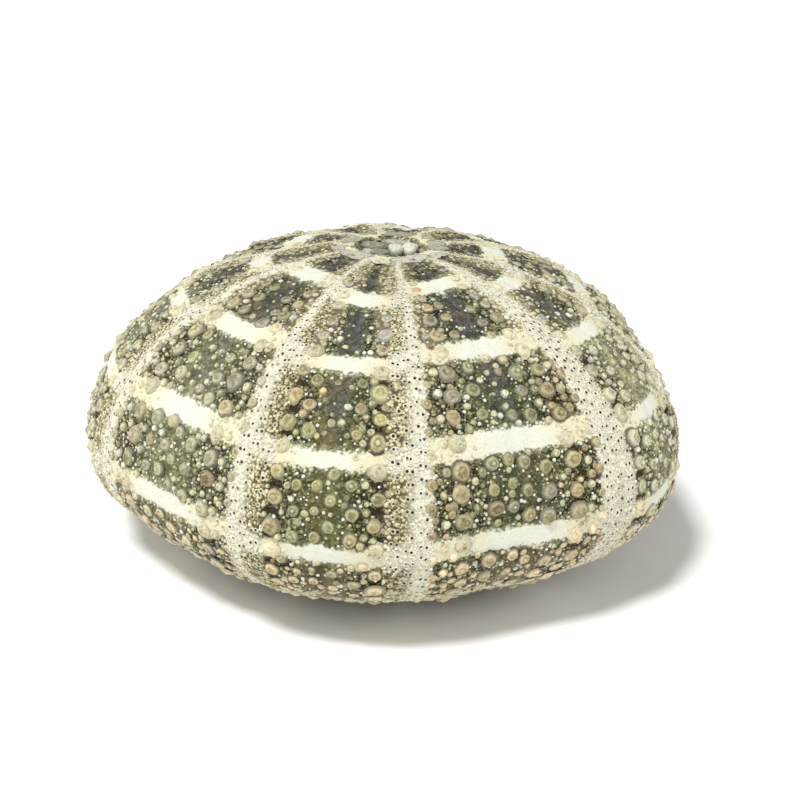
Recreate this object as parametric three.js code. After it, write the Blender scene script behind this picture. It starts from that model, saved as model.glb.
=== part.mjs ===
// The bare shell of a banded sea urchin: one hollow, grown piece with an open mouth underneath.
// Millimetres, +Z up. One ambulacrum faces -Y. The origin lies on the resting plane, under the middle
// of the shell's outline; the polar axis stands a little behind it, because the outline has five lobes.
import * as THREE from "three";

// Overall form
const GIRTH_RADIUS = 62.5; // mean radius at the widest girth
const GIRTH_Z = 24.7; // height of the widest girth above the resting plane
const CROWN_Z = 65; // height of the dome's top
const REST_OUTER_RADIUS = 26.9; // the flat ring that the shell rests on
const REST_INNER_RADIUS = 22;
const MOUTH_RADIUS = 17.6;
const MOUTH_LIP_Z = 1.4;
const WALL = 2.4;
const LOBES = 5;
const LOBE_SWELL = 0.033; // share by which the ambulacra stand out at the girth

// Exponents of the two quarter curves of the meridian, radial and upright
const CROWN_POWERS = { radial: 2 / 2.286, upright: 2 / 2.005 };
const FLANK_POWERS = { radial: 2 / 1.413, upright: 2 / 2.41 };
const MERIDIAN_SAMPLES = 24; // points of each quarter curve

// Plate columns of one lobe, in degrees from the middle of its ambulacrum
const AMBULACRUM_EDGE = 10.7;
const PORE_ZONE_MIDDLE = 14.7;
const PORE_ZONE_EDGE = 18.7;
const SERIES_EDGE = 27.5;
const LOBE_HALF = 180 / LOBES;
const ROWS = 20; // rows of plates from the apical disc to the resting ring
const PORE_ZONE_DIP = 0.5;
const SUTURE_DIP = 0.35;
const DIP_FADE_ROWS = 3; // rows over which the dips run out to the flat ring

// Tubercles: low five-sided bosses, one to a plate
const BOSS_SIDES = 5;
const BOSS_RADIUS = 2.1;
const BOSS_HEIGHT = 1;
const BOSS_CELL_SHARE = 0.36; // largest share of its plate that a boss takes, by radius
const BOSS_CLEARANCE = 0.6; // share of the height above the resting plane that a boss may use
const BARE_STRIP_ROWS = 6; // rows next to the apical disc with a bare middle strip
const BARE_END_ROWS = 2; // rows next to the resting ring with the same
const STAGGER = 0.08; // shift of a boss along its column, as a share of the row

// Apical disc: a raised ring of genital plates round a shallow dish with loose-set small plates
const APICAL_RADIUS = 11.5;
const APICAL_RIM_RADIUS = 7.9;
const APICAL_RIM_LIFT = 0.5;
const DISH_RADIUS = 7;
const DISH_DEPTH = 1.3;
const DISH_PLATE_HEIGHT = 1.1;
const DISH_PLATE_TOP_SHARE = 0.78; // a plate's top radius as a share of its base radius
const DISH_PLATE_SIDES = 6;
const DISH_PLATE_TURN = 12; // degrees by which each plate is turned on the one before it
const CENTRAL_PLATE = { x: 0.5, y: 0, radius: 2.4 };
const OUTER_PLATES = { count: 8, ringRadius: 4.95, radius: 1.75 };

// Mouth: ten gill notches, one at the outer edge of each pore zone
const NOTCH_DEPTH = 3;

// Inside wall
const INNER_ROW_STEP = 2; // outer rows to one inner row

const toRadians = THREE.MathUtils.degToRad;

// Points (radius, height) of a quarter curve from `from` to `to`: a superellipse quarter that leaves
// `from` level when `rising` is false, and upright when it is true.
function quarterCurve(from, to, powers, rising) {
  return Array.from({ length: MERIDIAN_SAMPLES + 1 }, (_, i) => {
    const turn = (i / MERIDIAN_SAMPLES) * (Math.PI / 2);
    const s = Math.sin(turn);
    const c = i === MERIDIAN_SAMPLES ? 0 : Math.cos(turn);
    const outward = rising ? 1 - c ** powers.radial : s ** powers.radial;
    const downward = rising ? s ** powers.upright : 1 - c ** powers.upright;
    return new THREE.Vector2(
      THREE.MathUtils.lerp(from.x, to.x, outward),
      THREE.MathUtils.lerp(from.y, to.y, downward),
    );
  });
}

// The meridian from the pole over the girth to the outer edge of the resting ring.
const girthPoint = new THREE.Vector2(GIRTH_RADIUS, GIRTH_Z);
const meridian = new THREE.SplineCurve([
  ...quarterCurve(new THREE.Vector2(0, CROWN_Z), girthPoint, CROWN_POWERS, false),
  ...quarterCurve(
    girthPoint,
    new THREE.Vector2(REST_OUTER_RADIUS, 0),
    FLANK_POWERS,
    true,
  ).slice(1),
]);
const meridianLength = meridian.getLength();

// Share of the meridian's length at which the crown reaches a radius, by halving.
function shareAtRadius(radius) {
  let low = 0;
  let high = 0.5;
  for (let i = 0; i < 40; i++) {
    const middle = (low + high) / 2;
    if (meridian.getPointAt(middle).x < radius) low = middle;
    else high = middle;
  }
  return low;
}

// A point at a radius, a height and an azimuth in degrees from -Y towards +X, on the five-lobed outline.
function place(radius, z, azimuth) {
  const turn = toRadians(azimuth);
  const swell = LOBE_SWELL * Math.cos(LOBES * turn) * (radius / GIRTH_RADIUS) ** 2;
  const r = radius * (1 + swell);
  return new THREE.Vector3(r * Math.sin(turn), -r * Math.cos(turn), z);
}

// A point of the outer surface at a share of the meridian, lifted along the surface's normal.
function onShell(share, azimuth, lift = 0) {
  const point = meridian.getPointAt(share);
  const tangent = meridian.getTangentAt(share);
  return place(point.x - lift * tangent.y, point.y + lift * tangent.x, azimuth);
}

// The growing mesh: shared vertices and triangles that face out of the material.
const vertices = [];
const triangles = [];
const addVertex = (point) => vertices.push(point) - 1;
const addTriangle = (a, b, c) => triangles.push([a, b, c]);

// Fills a flat outline, with holes, given as lists of { index, x, y } seen from outside.
function fill(outline, holes) {
  const flat = (loop) => loop.map(({ x, y }) => new THREE.Vector2(x, y));
  const all = [outline, ...holes].flat();
  const corners = flat(all);
  for (const face of THREE.ShapeUtils.triangulateShape(flat(outline), holes.map(flat))) {
    const [a, b, c] = face;
    const area = THREE.ShapeUtils.area([corners[a], corners[b], corners[c]]);
    addTriangle(all[a].index, all[area > 0 ? b : c].index, all[area > 0 ? c : b].index);
  }
}

// Joins two closed rings with as many vertices each. `upper` lies nearer the pole on an outer surface.
function joinRings(upper, lower) {
  upper.forEach((a, i) => {
    const j = (i + 1) % upper.length;
    addTriangle(a, lower[i], lower[j]);
    addTriangle(a, lower[j], upper[j]);
  });
}

// Joins a ring to one with half its vertices, which stand at its even ones. `half` lies below `full`
// on an outer surface when `below` is true, and above it when it is false.
function joinHalvedRings(full, half, below) {
  half.forEach((b, i) => {
    const c = half[(i + 1) % half.length];
    const [first, middle, last] = [0, 1, 2].map((k) => full[(2 * i + k) % full.length]);
    for (const [p, q, r] of [
      [first, b, middle],
      [middle, b, c],
      [middle, c, last],
    ])
      below ? addTriangle(p, q, r) : addTriangle(p, r, q);
  });
}

// Column lines round the whole shell: angle, dip below the smooth surface, and whether a notch is there.
const halfLobeLines = [
  { angle: 0, dip: SUTURE_DIP },
  { angle: AMBULACRUM_EDGE, dip: 0 },
  { angle: PORE_ZONE_MIDDLE, dip: PORE_ZONE_DIP },
  { angle: PORE_ZONE_EDGE, dip: 0, notch: true },
  { angle: SERIES_EDGE, dip: 0 },
];
const middleLine = { angle: LOBE_HALF, dip: SUTURE_DIP };
const mirroredLines = halfLobeLines
  .slice(1)
  .reverse()
  .map((line) => ({ ...line, angle: 2 * LOBE_HALF - line.angle }));
const lobeLines = [...halfLobeLines, middleLine, ...mirroredLines];
const lines = Array.from({ length: LOBES }, (_, lobe) =>
  lobeLines.map((line) => ({ ...line, angle: line.angle + lobe * 2 * LOBE_HALF })),
).flat();

const Columns = { AMBULACRUM: 1, PORES: 2, SERIES: 3, MIDDLE: 4 };
const halfLobeColumns = [
  Columns.AMBULACRUM,
  Columns.PORES,
  Columns.PORES,
  Columns.SERIES,
  Columns.MIDDLE,
];
const lobeColumns = [...halfLobeColumns, ...[...halfLobeColumns].reverse()];

const firstShare = shareAtRadius(APICAL_RADIUS);
const shareOfRow = (row) => firstShare + ((1 - firstShare) * row) / ROWS;

// Rings of plate corners, from the apical disc to the resting ring, which is flat.
const dipShare = (row) => Math.min(1, (ROWS - row) / DIP_FADE_ROWS);
const outerRings = Array.from({ length: ROWS + 1 }, (_, row) =>
  lines.map(({ angle, dip }) =>
    addVertex(onShell(shareOfRow(row), angle, -dip * dipShare(row))),
  ),
);

function hasBoss(column, row) {
  if (column === Columns.PORES) return false;
  if (column !== Columns.MIDDLE) return row < ROWS - 1;
  return row >= BARE_STRIP_ROWS && row < ROWS - BARE_END_ROWS;
}

// One plate between two rows and two lines: plain, or with a boss let into it.
function addPlate(row, column, columnNumber) {
  const next = (columnNumber + 1) % lines.length;
  const corners = [
    outerRings[row][columnNumber],
    outerRings[row + 1][columnNumber],
    outerRings[row + 1][next],
    outerRings[row][next],
  ];
  if (!hasBoss(column, row)) {
    addTriangle(corners[0], corners[1], corners[2]);
    addTriangle(corners[0], corners[2], corners[3]);
    return;
  }
  const left = lines[columnNumber].angle;
  const width = THREE.MathUtils.euclideanModulo(lines[next].angle - left, 360);
  const stagger = STAGGER * (columnNumber % 2 === 0 ? 1 : -1);
  const share = shareOfRow(row + 0.5 + stagger);
  const azimuth = left + width / 2;
  const { x: radius, y: height } = meridian.getPointAt(share);
  const degree = toRadians(1) * radius;
  const rowHeight = meridianLength * (shareOfRow(1) - shareOfRow(0));
  const bossRadius = Math.min(
    BOSS_RADIUS,
    BOSS_CELL_SHARE * width * degree,
    BOSS_CELL_SHARE * rowHeight,
  );
  const bossHeight = Math.min(
    (BOSS_HEIGHT * bossRadius) / (BOSS_CELL_SHARE * rowHeight),
    BOSS_CLEARANCE * height,
  );
  // The boss's base, in millimetres across and up from its centre.
  const base = Array.from({ length: BOSS_SIDES }, (_, k) => {
    const turn = (2 * Math.PI * k) / BOSS_SIDES;
    const x = bossRadius * Math.sin(turn);
    const y = bossRadius * Math.cos(turn);
    const point = onShell(share - y / meridianLength, azimuth + x / degree);
    return { index: addVertex(point), x, y };
  });
  const tip = addVertex(onShell(share, azimuth, bossHeight));
  base.forEach(({ index }, k) =>
    addTriangle(tip, base[(k + 1) % BOSS_SIDES].index, index),
  );
  const half = (width / 2) * degree;
  const up = (0.5 + stagger) * rowHeight;
  const down = up - rowHeight;
  const outline = [
    { index: corners[0], x: -half, y: up },
    { index: corners[1], x: -half, y: down },
    { index: corners[2], x: half, y: down },
    { index: corners[3], x: half, y: up },
  ];
  fill(outline, [base]);
}

for (let row = 0; row < ROWS; row++)
  lines.forEach((_, i) => addPlate(row, lobeColumns[i % lobeColumns.length], i));

// Apical disc
const evenLines = lines.filter((_, i) => i % 2 === 0);
const crownZ = (radius) => meridian.getPointAt(shareAtRadius(radius)).y;
const ringAt = (ofLines, radius, z) =>
  ofLines.map(({ angle }) => addVertex(place(radius, z, angle)));

const apicalRim = ringAt(
  evenLines,
  APICAL_RIM_RADIUS,
  crownZ(APICAL_RIM_RADIUS) + APICAL_RIM_LIFT,
);
const dishZ = CROWN_Z - DISH_DEPTH;
const dishEdge = ringAt(evenLines, DISH_RADIUS, dishZ);
joinHalvedRings(outerRings[0], apicalRim, false);
joinRings(dishEdge, apicalRim);

// A small many-sided plate that stands on the dish's floor. Returns its base as a hole for the floor.
function addDishPlate({ x, y, radius }, number) {
  const corner = (k, share, z) => {
    const turn = (2 * Math.PI * k) / DISH_PLATE_SIDES + toRadians(DISH_PLATE_TURN) * (number + 1);
    const px = x + share * radius * Math.cos(turn);
    const py = y + share * radius * Math.sin(turn);
    return { index: addVertex(new THREE.Vector3(px, py, z)), x: px, y: py };
  };
  const sides = Array.from({ length: DISH_PLATE_SIDES }, (_, k) => k);
  const base = sides.map((k) => corner(k, 1, dishZ));
  const top = sides.map((k) => corner(k, DISH_PLATE_TOP_SHARE, dishZ + DISH_PLATE_HEIGHT));
  joinRings(
    top.map(({ index }) => index),
    base.map(({ index }) => index),
  );
  fill(top, []);
  return base;
}

const outerDishPlates = Array.from({ length: OUTER_PLATES.count }, (_, i) => {
  const turn = (2 * Math.PI * (i + 0.5)) / OUTER_PLATES.count;
  return {
    x: OUTER_PLATES.ringRadius * Math.cos(turn),
    y: OUTER_PLATES.ringRadius * Math.sin(turn),
    radius: OUTER_PLATES.radius,
  };
});
const plateHoles = [CENTRAL_PLATE, ...outerDishPlates].map(addDishPlate);
fill(
  dishEdge.map((index) => ({ index, x: vertices[index].x, y: vertices[index].y })),
  plateHoles,
);

// Underside: the flat resting ring, then the rise to the notched lip of the mouth.
const lipRadius = ({ notch }) => MOUTH_RADIUS + (notch ? NOTCH_DEPTH : 0);
const lipRing = (z) =>
  lines.map((line) => addVertex(place(lipRadius(line), z, line.angle)));
const restInner = ringAt(lines, REST_INNER_RADIUS, 0);
const lipBelow = lipRing(MOUTH_LIP_Z);
const lipAbove = lipRing(MOUTH_LIP_Z + WALL);
joinRings(outerRings[ROWS], restInner);
joinRings(restInner, lipBelow);
joinRings(lipBelow, lipAbove);

// Inside wall, from the lip back up to the pole, on every second line.
const innerRings = [];
for (let row = ROWS; row > 0; row -= INNER_ROW_STEP)
  innerRings.push(
    evenLines.map(({ angle }) => addVertex(onShell(shareOfRow(row), angle, -WALL))),
  );
joinHalvedRings(lipAbove, innerRings[0], true);
for (let i = 1; i < innerRings.length; i++) joinRings(innerRings[i - 1], innerRings[i]);
const innerPole = addVertex(new THREE.Vector3(0, 0, dishZ - WALL));
const lastRing = innerRings.at(-1);
lastRing.forEach((a, i) => addTriangle(a, innerPole, lastRing[(i + 1) % lastRing.length]));

// Moves the shell so that the origin is under the middle of its outline.
const geometry = new THREE.BufferGeometry().setFromPoints(vertices);
geometry.setIndex(triangles.flat());
geometry.computeBoundingBox();
const outlineMiddle = geometry.boundingBox.getCenter(new THREE.Vector3());
geometry.translate(-outlineMiddle.x, -outlineMiddle.y, 0);
geometry.computeVertexNormals();

const shell = new THREE.Mesh(
  geometry,
  new THREE.MeshStandardMaterial({
    color: 0x8d8c72,
    roughness: 0.75,
    metalness: 0,
    flatShading: true,
  }),
);
shell.name = "sea_urchin_shell";

const seaUrchinShell = new THREE.Group();
seaUrchinShell.add(shell);

export default seaUrchinShell;
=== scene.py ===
"""Looks of the bare shell of a banded sea urchin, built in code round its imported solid.

Lengths in the formulas are millimetres, angles are degrees from the front lobe's middle towards +X,
and meshes are scaled to metres when they are made. A place on the shell is given by its arc, the
distance along the meridian from the pole, and its azimuth.
"""

import logging
import math
from dataclasses import dataclass, field
from enum import Enum, IntEnum
from functools import cached_property

import bpy
import numpy as np
from mathutils import Matrix, Vector


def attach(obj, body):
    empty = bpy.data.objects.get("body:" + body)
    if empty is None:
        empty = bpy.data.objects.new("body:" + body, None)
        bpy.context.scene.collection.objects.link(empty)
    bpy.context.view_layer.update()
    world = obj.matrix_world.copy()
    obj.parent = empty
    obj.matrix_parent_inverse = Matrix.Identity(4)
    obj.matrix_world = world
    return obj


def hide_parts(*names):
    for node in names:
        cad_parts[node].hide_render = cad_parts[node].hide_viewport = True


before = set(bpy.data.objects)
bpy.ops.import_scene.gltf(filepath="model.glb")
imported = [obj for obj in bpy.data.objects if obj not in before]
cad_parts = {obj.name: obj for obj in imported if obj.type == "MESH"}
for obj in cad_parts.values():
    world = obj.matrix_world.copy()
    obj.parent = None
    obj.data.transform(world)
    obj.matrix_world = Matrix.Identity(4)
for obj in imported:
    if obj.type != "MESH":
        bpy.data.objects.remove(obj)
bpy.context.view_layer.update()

LOG = logging.getLogger("sea_urchin_shell")
NODE = "sea_urchin_shell"
BODY = "root"
MM = 0.001
PHOTO_SIDE = 800
STAMP_TURN = 2.4

Array = np.ndarray
Tone = tuple[float, float, float]


class Seed(IntEnum):
    """Starting numbers of the random draws, one for each use."""

    LOOSE_BEADS = 7
    GRANULES = 9
    SWELLS = 11
    PITS = 12
    WARTS = 17
    PORES = 21
    PORE_GRANULES = 22
    PORE_GRANULE_PLACES = 23
    PORE_OPENINGS = 24
    RING_PLATES = 31
    DISH_PLATES = 32
    GREEN_CLOUDS = 40
    WARM_CLOUDS = 41
    SHADE_CLOUDS = 42
    KNOB_COLUMNS = 100
    BEAD_COLUMNS = 200


def linear(red: float, green: float, blue: float) -> Array:
    """Linear colour of an sRGB colour given in steps of 255."""
    share = np.array([red, green, blue], float) / 255
    return np.where(share <= 0.04045, share / 12.92, ((share + 0.055) / 1.055) ** 2.4)


def smooth(value: Array, low: float, high: float) -> Array:
    """Smooth step: 0 below low, 1 above high, a cubic between them."""
    share = np.clip((np.asarray(value, float) - low) / (high - low), 0, 1)
    return share * share * (3 - 2 * share)


def blend(first: Array, second: Array, share: Array) -> Array:
    """Mix of two colours, or of two lists of colours, by a share for each point."""
    return first + (second - first) * np.asarray(share)[..., None]


def ripple(points: Array, size: float, seed: int, waves: int = 18) -> Array:
    """Smooth seeded noise of about unit spread.

    The sum of plane cosine waves with random directions, and lengths near size.

    Args:
        points: Places, with the coordinates last.
        size: Mean wavelength.
        seed: Seed of the directions and phases.
        waves: Number of waves.

    Returns:
        One value for each point.
    """
    rng = np.random.default_rng(seed)
    heading = rng.normal(size=(waves, 3))
    heading /= np.linalg.norm(heading, axis=1, keepdims=True)
    heading *= 2 * math.pi / size * rng.uniform(0.7, 1.4, (waves, 1))
    phase = rng.uniform(0, 2 * math.pi, waves)
    return np.cos(points @ heading.T + phase).sum(-1) / math.sqrt(waves / 2)


def unit(vectors: Array) -> Array:
    """The vectors at length one."""
    return vectors / np.linalg.norm(vectors, axis=-1, keepdims=True)


def wavy(count: int, sides: int, stretch: Array | float, size: float, seed: int) -> Array:
    """Rounded irregular outlines for stamps.

    The radius is that of an ellipse of the given stretch, times one plus a few small cosine waves.

    Args:
        count: Number of outlines.
        sides: Corners of each.
        stretch: Half length of the ellipse across, its other half being one over it.
        size: Height of the waves.
        seed: Seed of their phases.

    Returns:
        Factors on the radius, a row for each outline.
    """
    rng = np.random.default_rng(seed)
    longest_phase = 6.28
    turn = np.arange(sides)[None] * 2 * math.pi / sides + (np.arange(count) * STAMP_TURN)[:, None]
    wide = np.broadcast_to(stretch, count)[:, None]
    factor = 1 / np.sqrt((np.cos(turn) / wide) ** 2 + (np.sin(turn) * wide) ** 2)
    for wave, share in ((2, 1.0), (3, 0.9), (4, 0.8), (5, 0.6)):
        phase = rng.uniform(0, longest_phase, (count, 1))
        factor = factor * (1 + size * share * np.cos(wave * turn + phase))
    return factor


@dataclass(frozen=True)
class Meridian:
    """The shell's outline from the pole over the girth to the outer edge of the resting ring."""

    girth_radius: float = 62.5
    girth_z: float = 24.7
    crown_z: float = 65.0
    rest_radius: float = 26.9
    crown_powers: tuple[float, float] = (2 / 2.286, 2 / 2.005)
    flank_powers: tuple[float, float] = (2 / 1.413, 2 / 2.41)
    samples: int = 3000

    @cached_property
    def table(self) -> dict[str, Array]:
        """Arc, radius, height and normal along the outline.

        Each quarter is a superellipse: the radius goes with a power of the sine or cosine of a turn
        that runs over a right angle, and the height with another power of the cosine or sine.

        Returns:
            Equally long lists under the names arc, radius, z, normal_radial and normal_z.
        """
        turn = np.linspace(0, math.pi / 2, self.samples)
        sine, cosine = np.sin(turn), np.cos(turn)
        cosine[-1] = 0
        radial, upright = self.crown_powers
        crown_radius = self.girth_radius * sine**radial
        crown_z = self.girth_z + (self.crown_z - self.girth_z) * cosine**upright
        radial, upright = self.flank_powers
        flank_radius = self.rest_radius + (self.girth_radius - self.rest_radius) * cosine**radial
        flank_z = self.girth_z * (1 - sine**upright)
        radius = np.concatenate([crown_radius, flank_radius[1:]])
        z = np.concatenate([crown_z, flank_z[1:]])
        arc = np.concatenate([[0], np.cumsum(np.hypot(np.diff(radius), np.diff(z)))])
        even = np.linspace(0, arc[-1], self.samples)
        radius, z = np.interp(even, arc, radius), np.interp(even, arc, z)
        along = unit(np.stack([np.gradient(radius), np.gradient(z)], -1))
        return {
            "arc": even,
            "radius": radius,
            "z": z,
            "normal_radial": -along[:, 1],
            "normal_z": along[:, 0],
        }

    @property
    def length(self) -> float:
        """The outline's whole arc."""
        return float(self.table["arc"][-1])

    def at(self, arc: Array, name: str) -> Array:
        """The named column of the table at these arcs."""
        return np.interp(arc, self.table["arc"], self.table[name])


@dataclass(frozen=True)
class Form:
    """The five-lobed surface that the meridian sweeps out."""

    meridian: Meridian = field(default_factory=Meridian)
    lobes: int = 5
    swell: float = 0.033
    step: float = 0.02

    @cached_property
    def axis_y(self) -> float:
        """How far the polar axis stands behind the middle of the girth's outline.

        Returns:
            The distance in millimetres.
        """
        turn = np.radians(np.linspace(0, 360, 3601))
        y = -self.meridian.girth_radius * (1 + self.swell * np.cos(self.lobes * turn)) * np.cos(turn)
        return float(-(y.max() + y.min()) / 2)

    def place(self, radius: Array, z: Array, azimuth: Array) -> Array:
        """Points at these radii, heights and azimuths.

        The radius grows by the swell times the cosine of five times the azimuth, and with the square
        of the radius's share of the girth, so that the lobes run out towards the pole.

        Args:
            radius: Distances from the polar axis on a body without lobes.
            z: Heights.
            azimuth: Azimuths.

        Returns:
            The points, with the coordinates last.
        """
        turn = np.radians(azimuth)
        share = (radius / self.meridian.girth_radius) ** 2
        reach = radius * (1 + self.swell * np.cos(self.lobes * turn) * share)
        x, y = reach * np.sin(turn), self.axis_y - reach * np.cos(turn)
        return np.stack([x, y, z + 0 * x], -1)

    def on_surface(self, arc: Array, azimuth: Array) -> Array:
        """Points of the smooth surface."""
        return self.place(self.meridian.at(arc, "radius"), self.meridian.at(arc, "z"), azimuth)

    def frames(self, arc: Array, azimuth: Array) -> tuple[Array, Array, Array, Array]:
        """Point, direction across, direction up the meridian and outward normal at each place.

        Args:
            arc: Arcs of the places.
            azimuth: Azimuths of the places.

        Returns:
            The points and the three unit vectors, from steps along the surface and their cross product.
        """
        arc = np.clip(np.asarray(arc, float), 2 * self.step, self.meridian.length - self.step)
        point = self.on_surface(arc, azimuth)
        across = unit(self.on_surface(arc, azimuth + self.step) - point)
        up = unit(self.on_surface(arc - self.step, azimuth) - self.on_surface(arc + self.step, azimuth))
        normal = unit(np.cross(across, up))
        return point, across, np.cross(normal, across), normal


@dataclass(frozen=True)
class Zones:
    """Where the ambulacra, their pore zones, the plates and the white bands lie."""

    form: Form
    ambulacrum_edge: float = 10.7
    pore_middle: float = 14.7
    pore_edge: float = 18.7
    lobe_half: float = 36.0
    ambulacral_bands: tuple[float, ...] = (27.5, 46.1, 65.9, 84.3, 104.0)
    ambulacral_halves: tuple[float, ...] = (2.3, 2.1, 1.8, 1.8, 1.5)
    interambulacral_bands: tuple[float, ...] = (22.3, 43.2, 64.3, 83.6, 102.5)
    interambulacral_halves: tuple[float, ...] = (2.5, 2.5, 2.6, 2.2, 1.8)
    limed_at: float = 55.0
    limed_half: float = 8.0
    limed_share: float = 0.85
    limed_edge: float = 3.0
    white_offsets: tuple[float, float] = (-1.5, 2.0)
    disc_middle: float = 9.6
    disc_half: float = 1.7
    dish_edge: tuple[float, float] = (7.3, 8.3)
    dish_clearance: float = 4.0
    flank_arcs: tuple[float, ...] = (10, 20, 35, 50)
    flank_shares: tuple[float, ...] = (0.78, 0.68, 0.48, 0.2)
    flank_end: tuple[float, float] = (40.0, 58.0)
    ambulacral_knobs: tuple[float, float] = (72.7, 74.3)
    interambulacral_knobs: tuple[float, float] = (68.4, 70.7)
    crevice_height: float = 0.75
    crevice_half: float = 2.2
    crevice_angles: tuple[float, float] = (9.4, 23.6)
    crevice_strengths: tuple[float, float] = (1.0, 0.7)
    crevice_start: tuple[float, float] = (40.0, 52.0)
    crevice_fade: tuple[float, float] = (88.0, 100.0)
    pitch_arcs: tuple[float, ...] = (8, 24, 48, 90, 115, 130)
    pitches: tuple[float, ...] = (2.4, 3.5, 5.05, 5.05, 4.4, 3.6)
    row_samples: int = 2000

    def fold(self, azimuth: Array) -> Array:
        """Degrees from the middle of the nearest ambulacrum."""
        return np.abs(self.signed(azimuth))

    def signed(self, azimuth: Array) -> Array:
        """Degrees from the middle of the nearest ambulacrum, negative on its left."""
        return (np.asarray(azimuth, float) + self.lobe_half) % (2 * self.lobe_half) - self.lobe_half

    def degree(self, arc: Array) -> Array:
        """Length of one degree of azimuth."""
        return self.form.meridian.at(arc, "radius") * math.pi / 180

    def interambulacral(self, azimuth: Array) -> Array:
        """0 in the ambulacra and 1 between them, with a soft change in the pore zones."""
        return smooth(self.fold(azimuth), self.ambulacrum_edge, self.pore_edge)

    def whiter_side(self, azimuth: Array) -> Array:
        """Share of white lime in a pore zone: high away from the ambulacrum and all over one zone.

        Args:
            azimuth: Azimuths of the points.

        Returns:
            The larger of the two smooth steps, from 0 to 1.
        """
        off = np.abs((np.asarray(azimuth, float) - self.limed_at + 180) % 360 - 180)
        edge = self.limed_edge
        limed = self.limed_share * (1 - smooth(off, self.limed_half - edge, self.limed_half + edge))
        start, end = self.white_offsets
        outer = smooth(self.fold(azimuth), self.pore_middle + start, self.pore_middle + end)
        return np.maximum(outer, limed)

    def band_depth(self, arc: Array, azimuth: Array) -> Array:
        """Signed distance into the nearest white band or the pale ring round the pole.

        Args:
            arc: Arcs of the points.
            azimuth: Azimuths of the points.

        Returns:
            Half the band's height less the distance from its middle line, the largest of all bands.
        """
        share = self.interambulacral(azimuth)
        depths = [self.disc_half - np.abs(arc - self.disc_middle) + 0 * share]
        for place_a, half_a, place_i, half_i in zip(
            self.ambulacral_bands,
            self.ambulacral_halves,
            self.interambulacral_bands,
            self.interambulacral_halves,
        ):
            middle = place_a + (place_i - place_a) * share
            half = half_a + (half_i - half_a) * share
            depths.append(half - np.abs(arc - middle))
        return np.max(depths, 0)

    def pore_depth(self, arc: Array, azimuth: Array) -> Array:
        """Signed distance into the pore zone, negative outside it and in the dish.

        Args:
            arc: Arcs of the points.
            azimuth: Azimuths of the points.

        Returns:
            Half the zone's width less the distance from its middle line.
        """
        half = (self.pore_edge - self.ambulacrum_edge) / 2
        inside = (half - np.abs(self.fold(azimuth) - self.pore_middle)) * self.degree(arc)
        return inside - self.dish_clearance * (1 - smooth(arc, *self.dish_edge))

    def middle_distance(self, arc: Array, azimuth: Array) -> Array:
        """Distance from the middle line of the ambulacrum or of the space between two.

        Args:
            arc: Arcs of the points.
            azimuth: Azimuths of the points.

        Returns:
            The distance across, in millimetres.
        """
        fold = self.fold(azimuth)
        off = np.where(fold < self.pore_middle, fold, self.lobe_half - fold)
        return off * self.degree(arc)

    def flank(self, arc: Array, azimuth: Array) -> Array:
        """Share of the pale flanks beside the pore zones, which are broad near the pole only.

        Args:
            arc: Arcs of the points.
            azimuth: Azimuths of the points.

        Returns:
            A smooth step over the way inwards, faded out in the dish and below the upper rows.
        """
        share = self.interambulacral(azimuth)
        edge = np.interp(arc, self.flank_arcs, self.flank_shares) * (1 - 0.35 * share)
        reach = self.inward(arc, azimuth)
        shown = smooth(arc, *self.dish_edge) * (1 - smooth(arc, *self.flank_end))
        return (1 - smooth(reach, edge - 0.18, edge + 0.12)) * shown

    def inward(self, arc: Array, azimuth: Array) -> Array:
        """Share of the way from the pore zone's edge to the middle line, 0 in the pore zone."""
        off_edge = np.maximum(-self.pore_depth(arc, azimuth), 0)
        return off_edge / (off_edge + self.middle_distance(arc, azimuth) + 1e-6)

    @cached_property
    def row_table(self) -> tuple[Array, Array]:
        """Arcs and the number of plate rows passed on the way there from the pole.

        Returns:
            The arcs, and the running sum of one over the row height.
        """
        arcs = np.linspace(0, self.form.meridian.length, self.row_samples)
        pitch = self.pitch(arcs)
        steps = np.diff(arcs) * 2 / (pitch[1:] + pitch[:-1])
        return arcs, np.concatenate([[0], np.cumsum(steps)])

    def row(self, arc: Array) -> Array:
        """Plate rows passed at these arcs, with fractions."""
        return np.interp(arc, *self.row_table)

    def arc_of_row(self, row: Array) -> Array:
        """Arcs at which these row numbers are reached."""
        arcs, rows = self.row_table
        return np.interp(row, rows, arcs)

    def pitch(self, arc: Array) -> Array:
        """Height of one plate row."""
        return np.interp(arc, self.pitch_arcs, self.pitches)

    def off_suture(self, arc: Array, azimuth: Array) -> Array:
        """Distance along the meridian from the plate seam, which lies midway between two knobs.

        Args:
            arc: Arcs of the points.
            azimuth: Azimuths of the points.

        Returns:
            The row number's distance from a half, times the row height.
        """
        right = self.signed(azimuth) > 0
        near = np.where(right, *self.ambulacral_knobs)
        far = np.where(right, *self.interambulacral_knobs)
        known = np.where(self.fold(azimuth) < self.pore_middle, near, far)
        return np.abs((self.row(arc) - self.row(known)) % 1 - 0.5) * self.pitch(arc)

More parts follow.
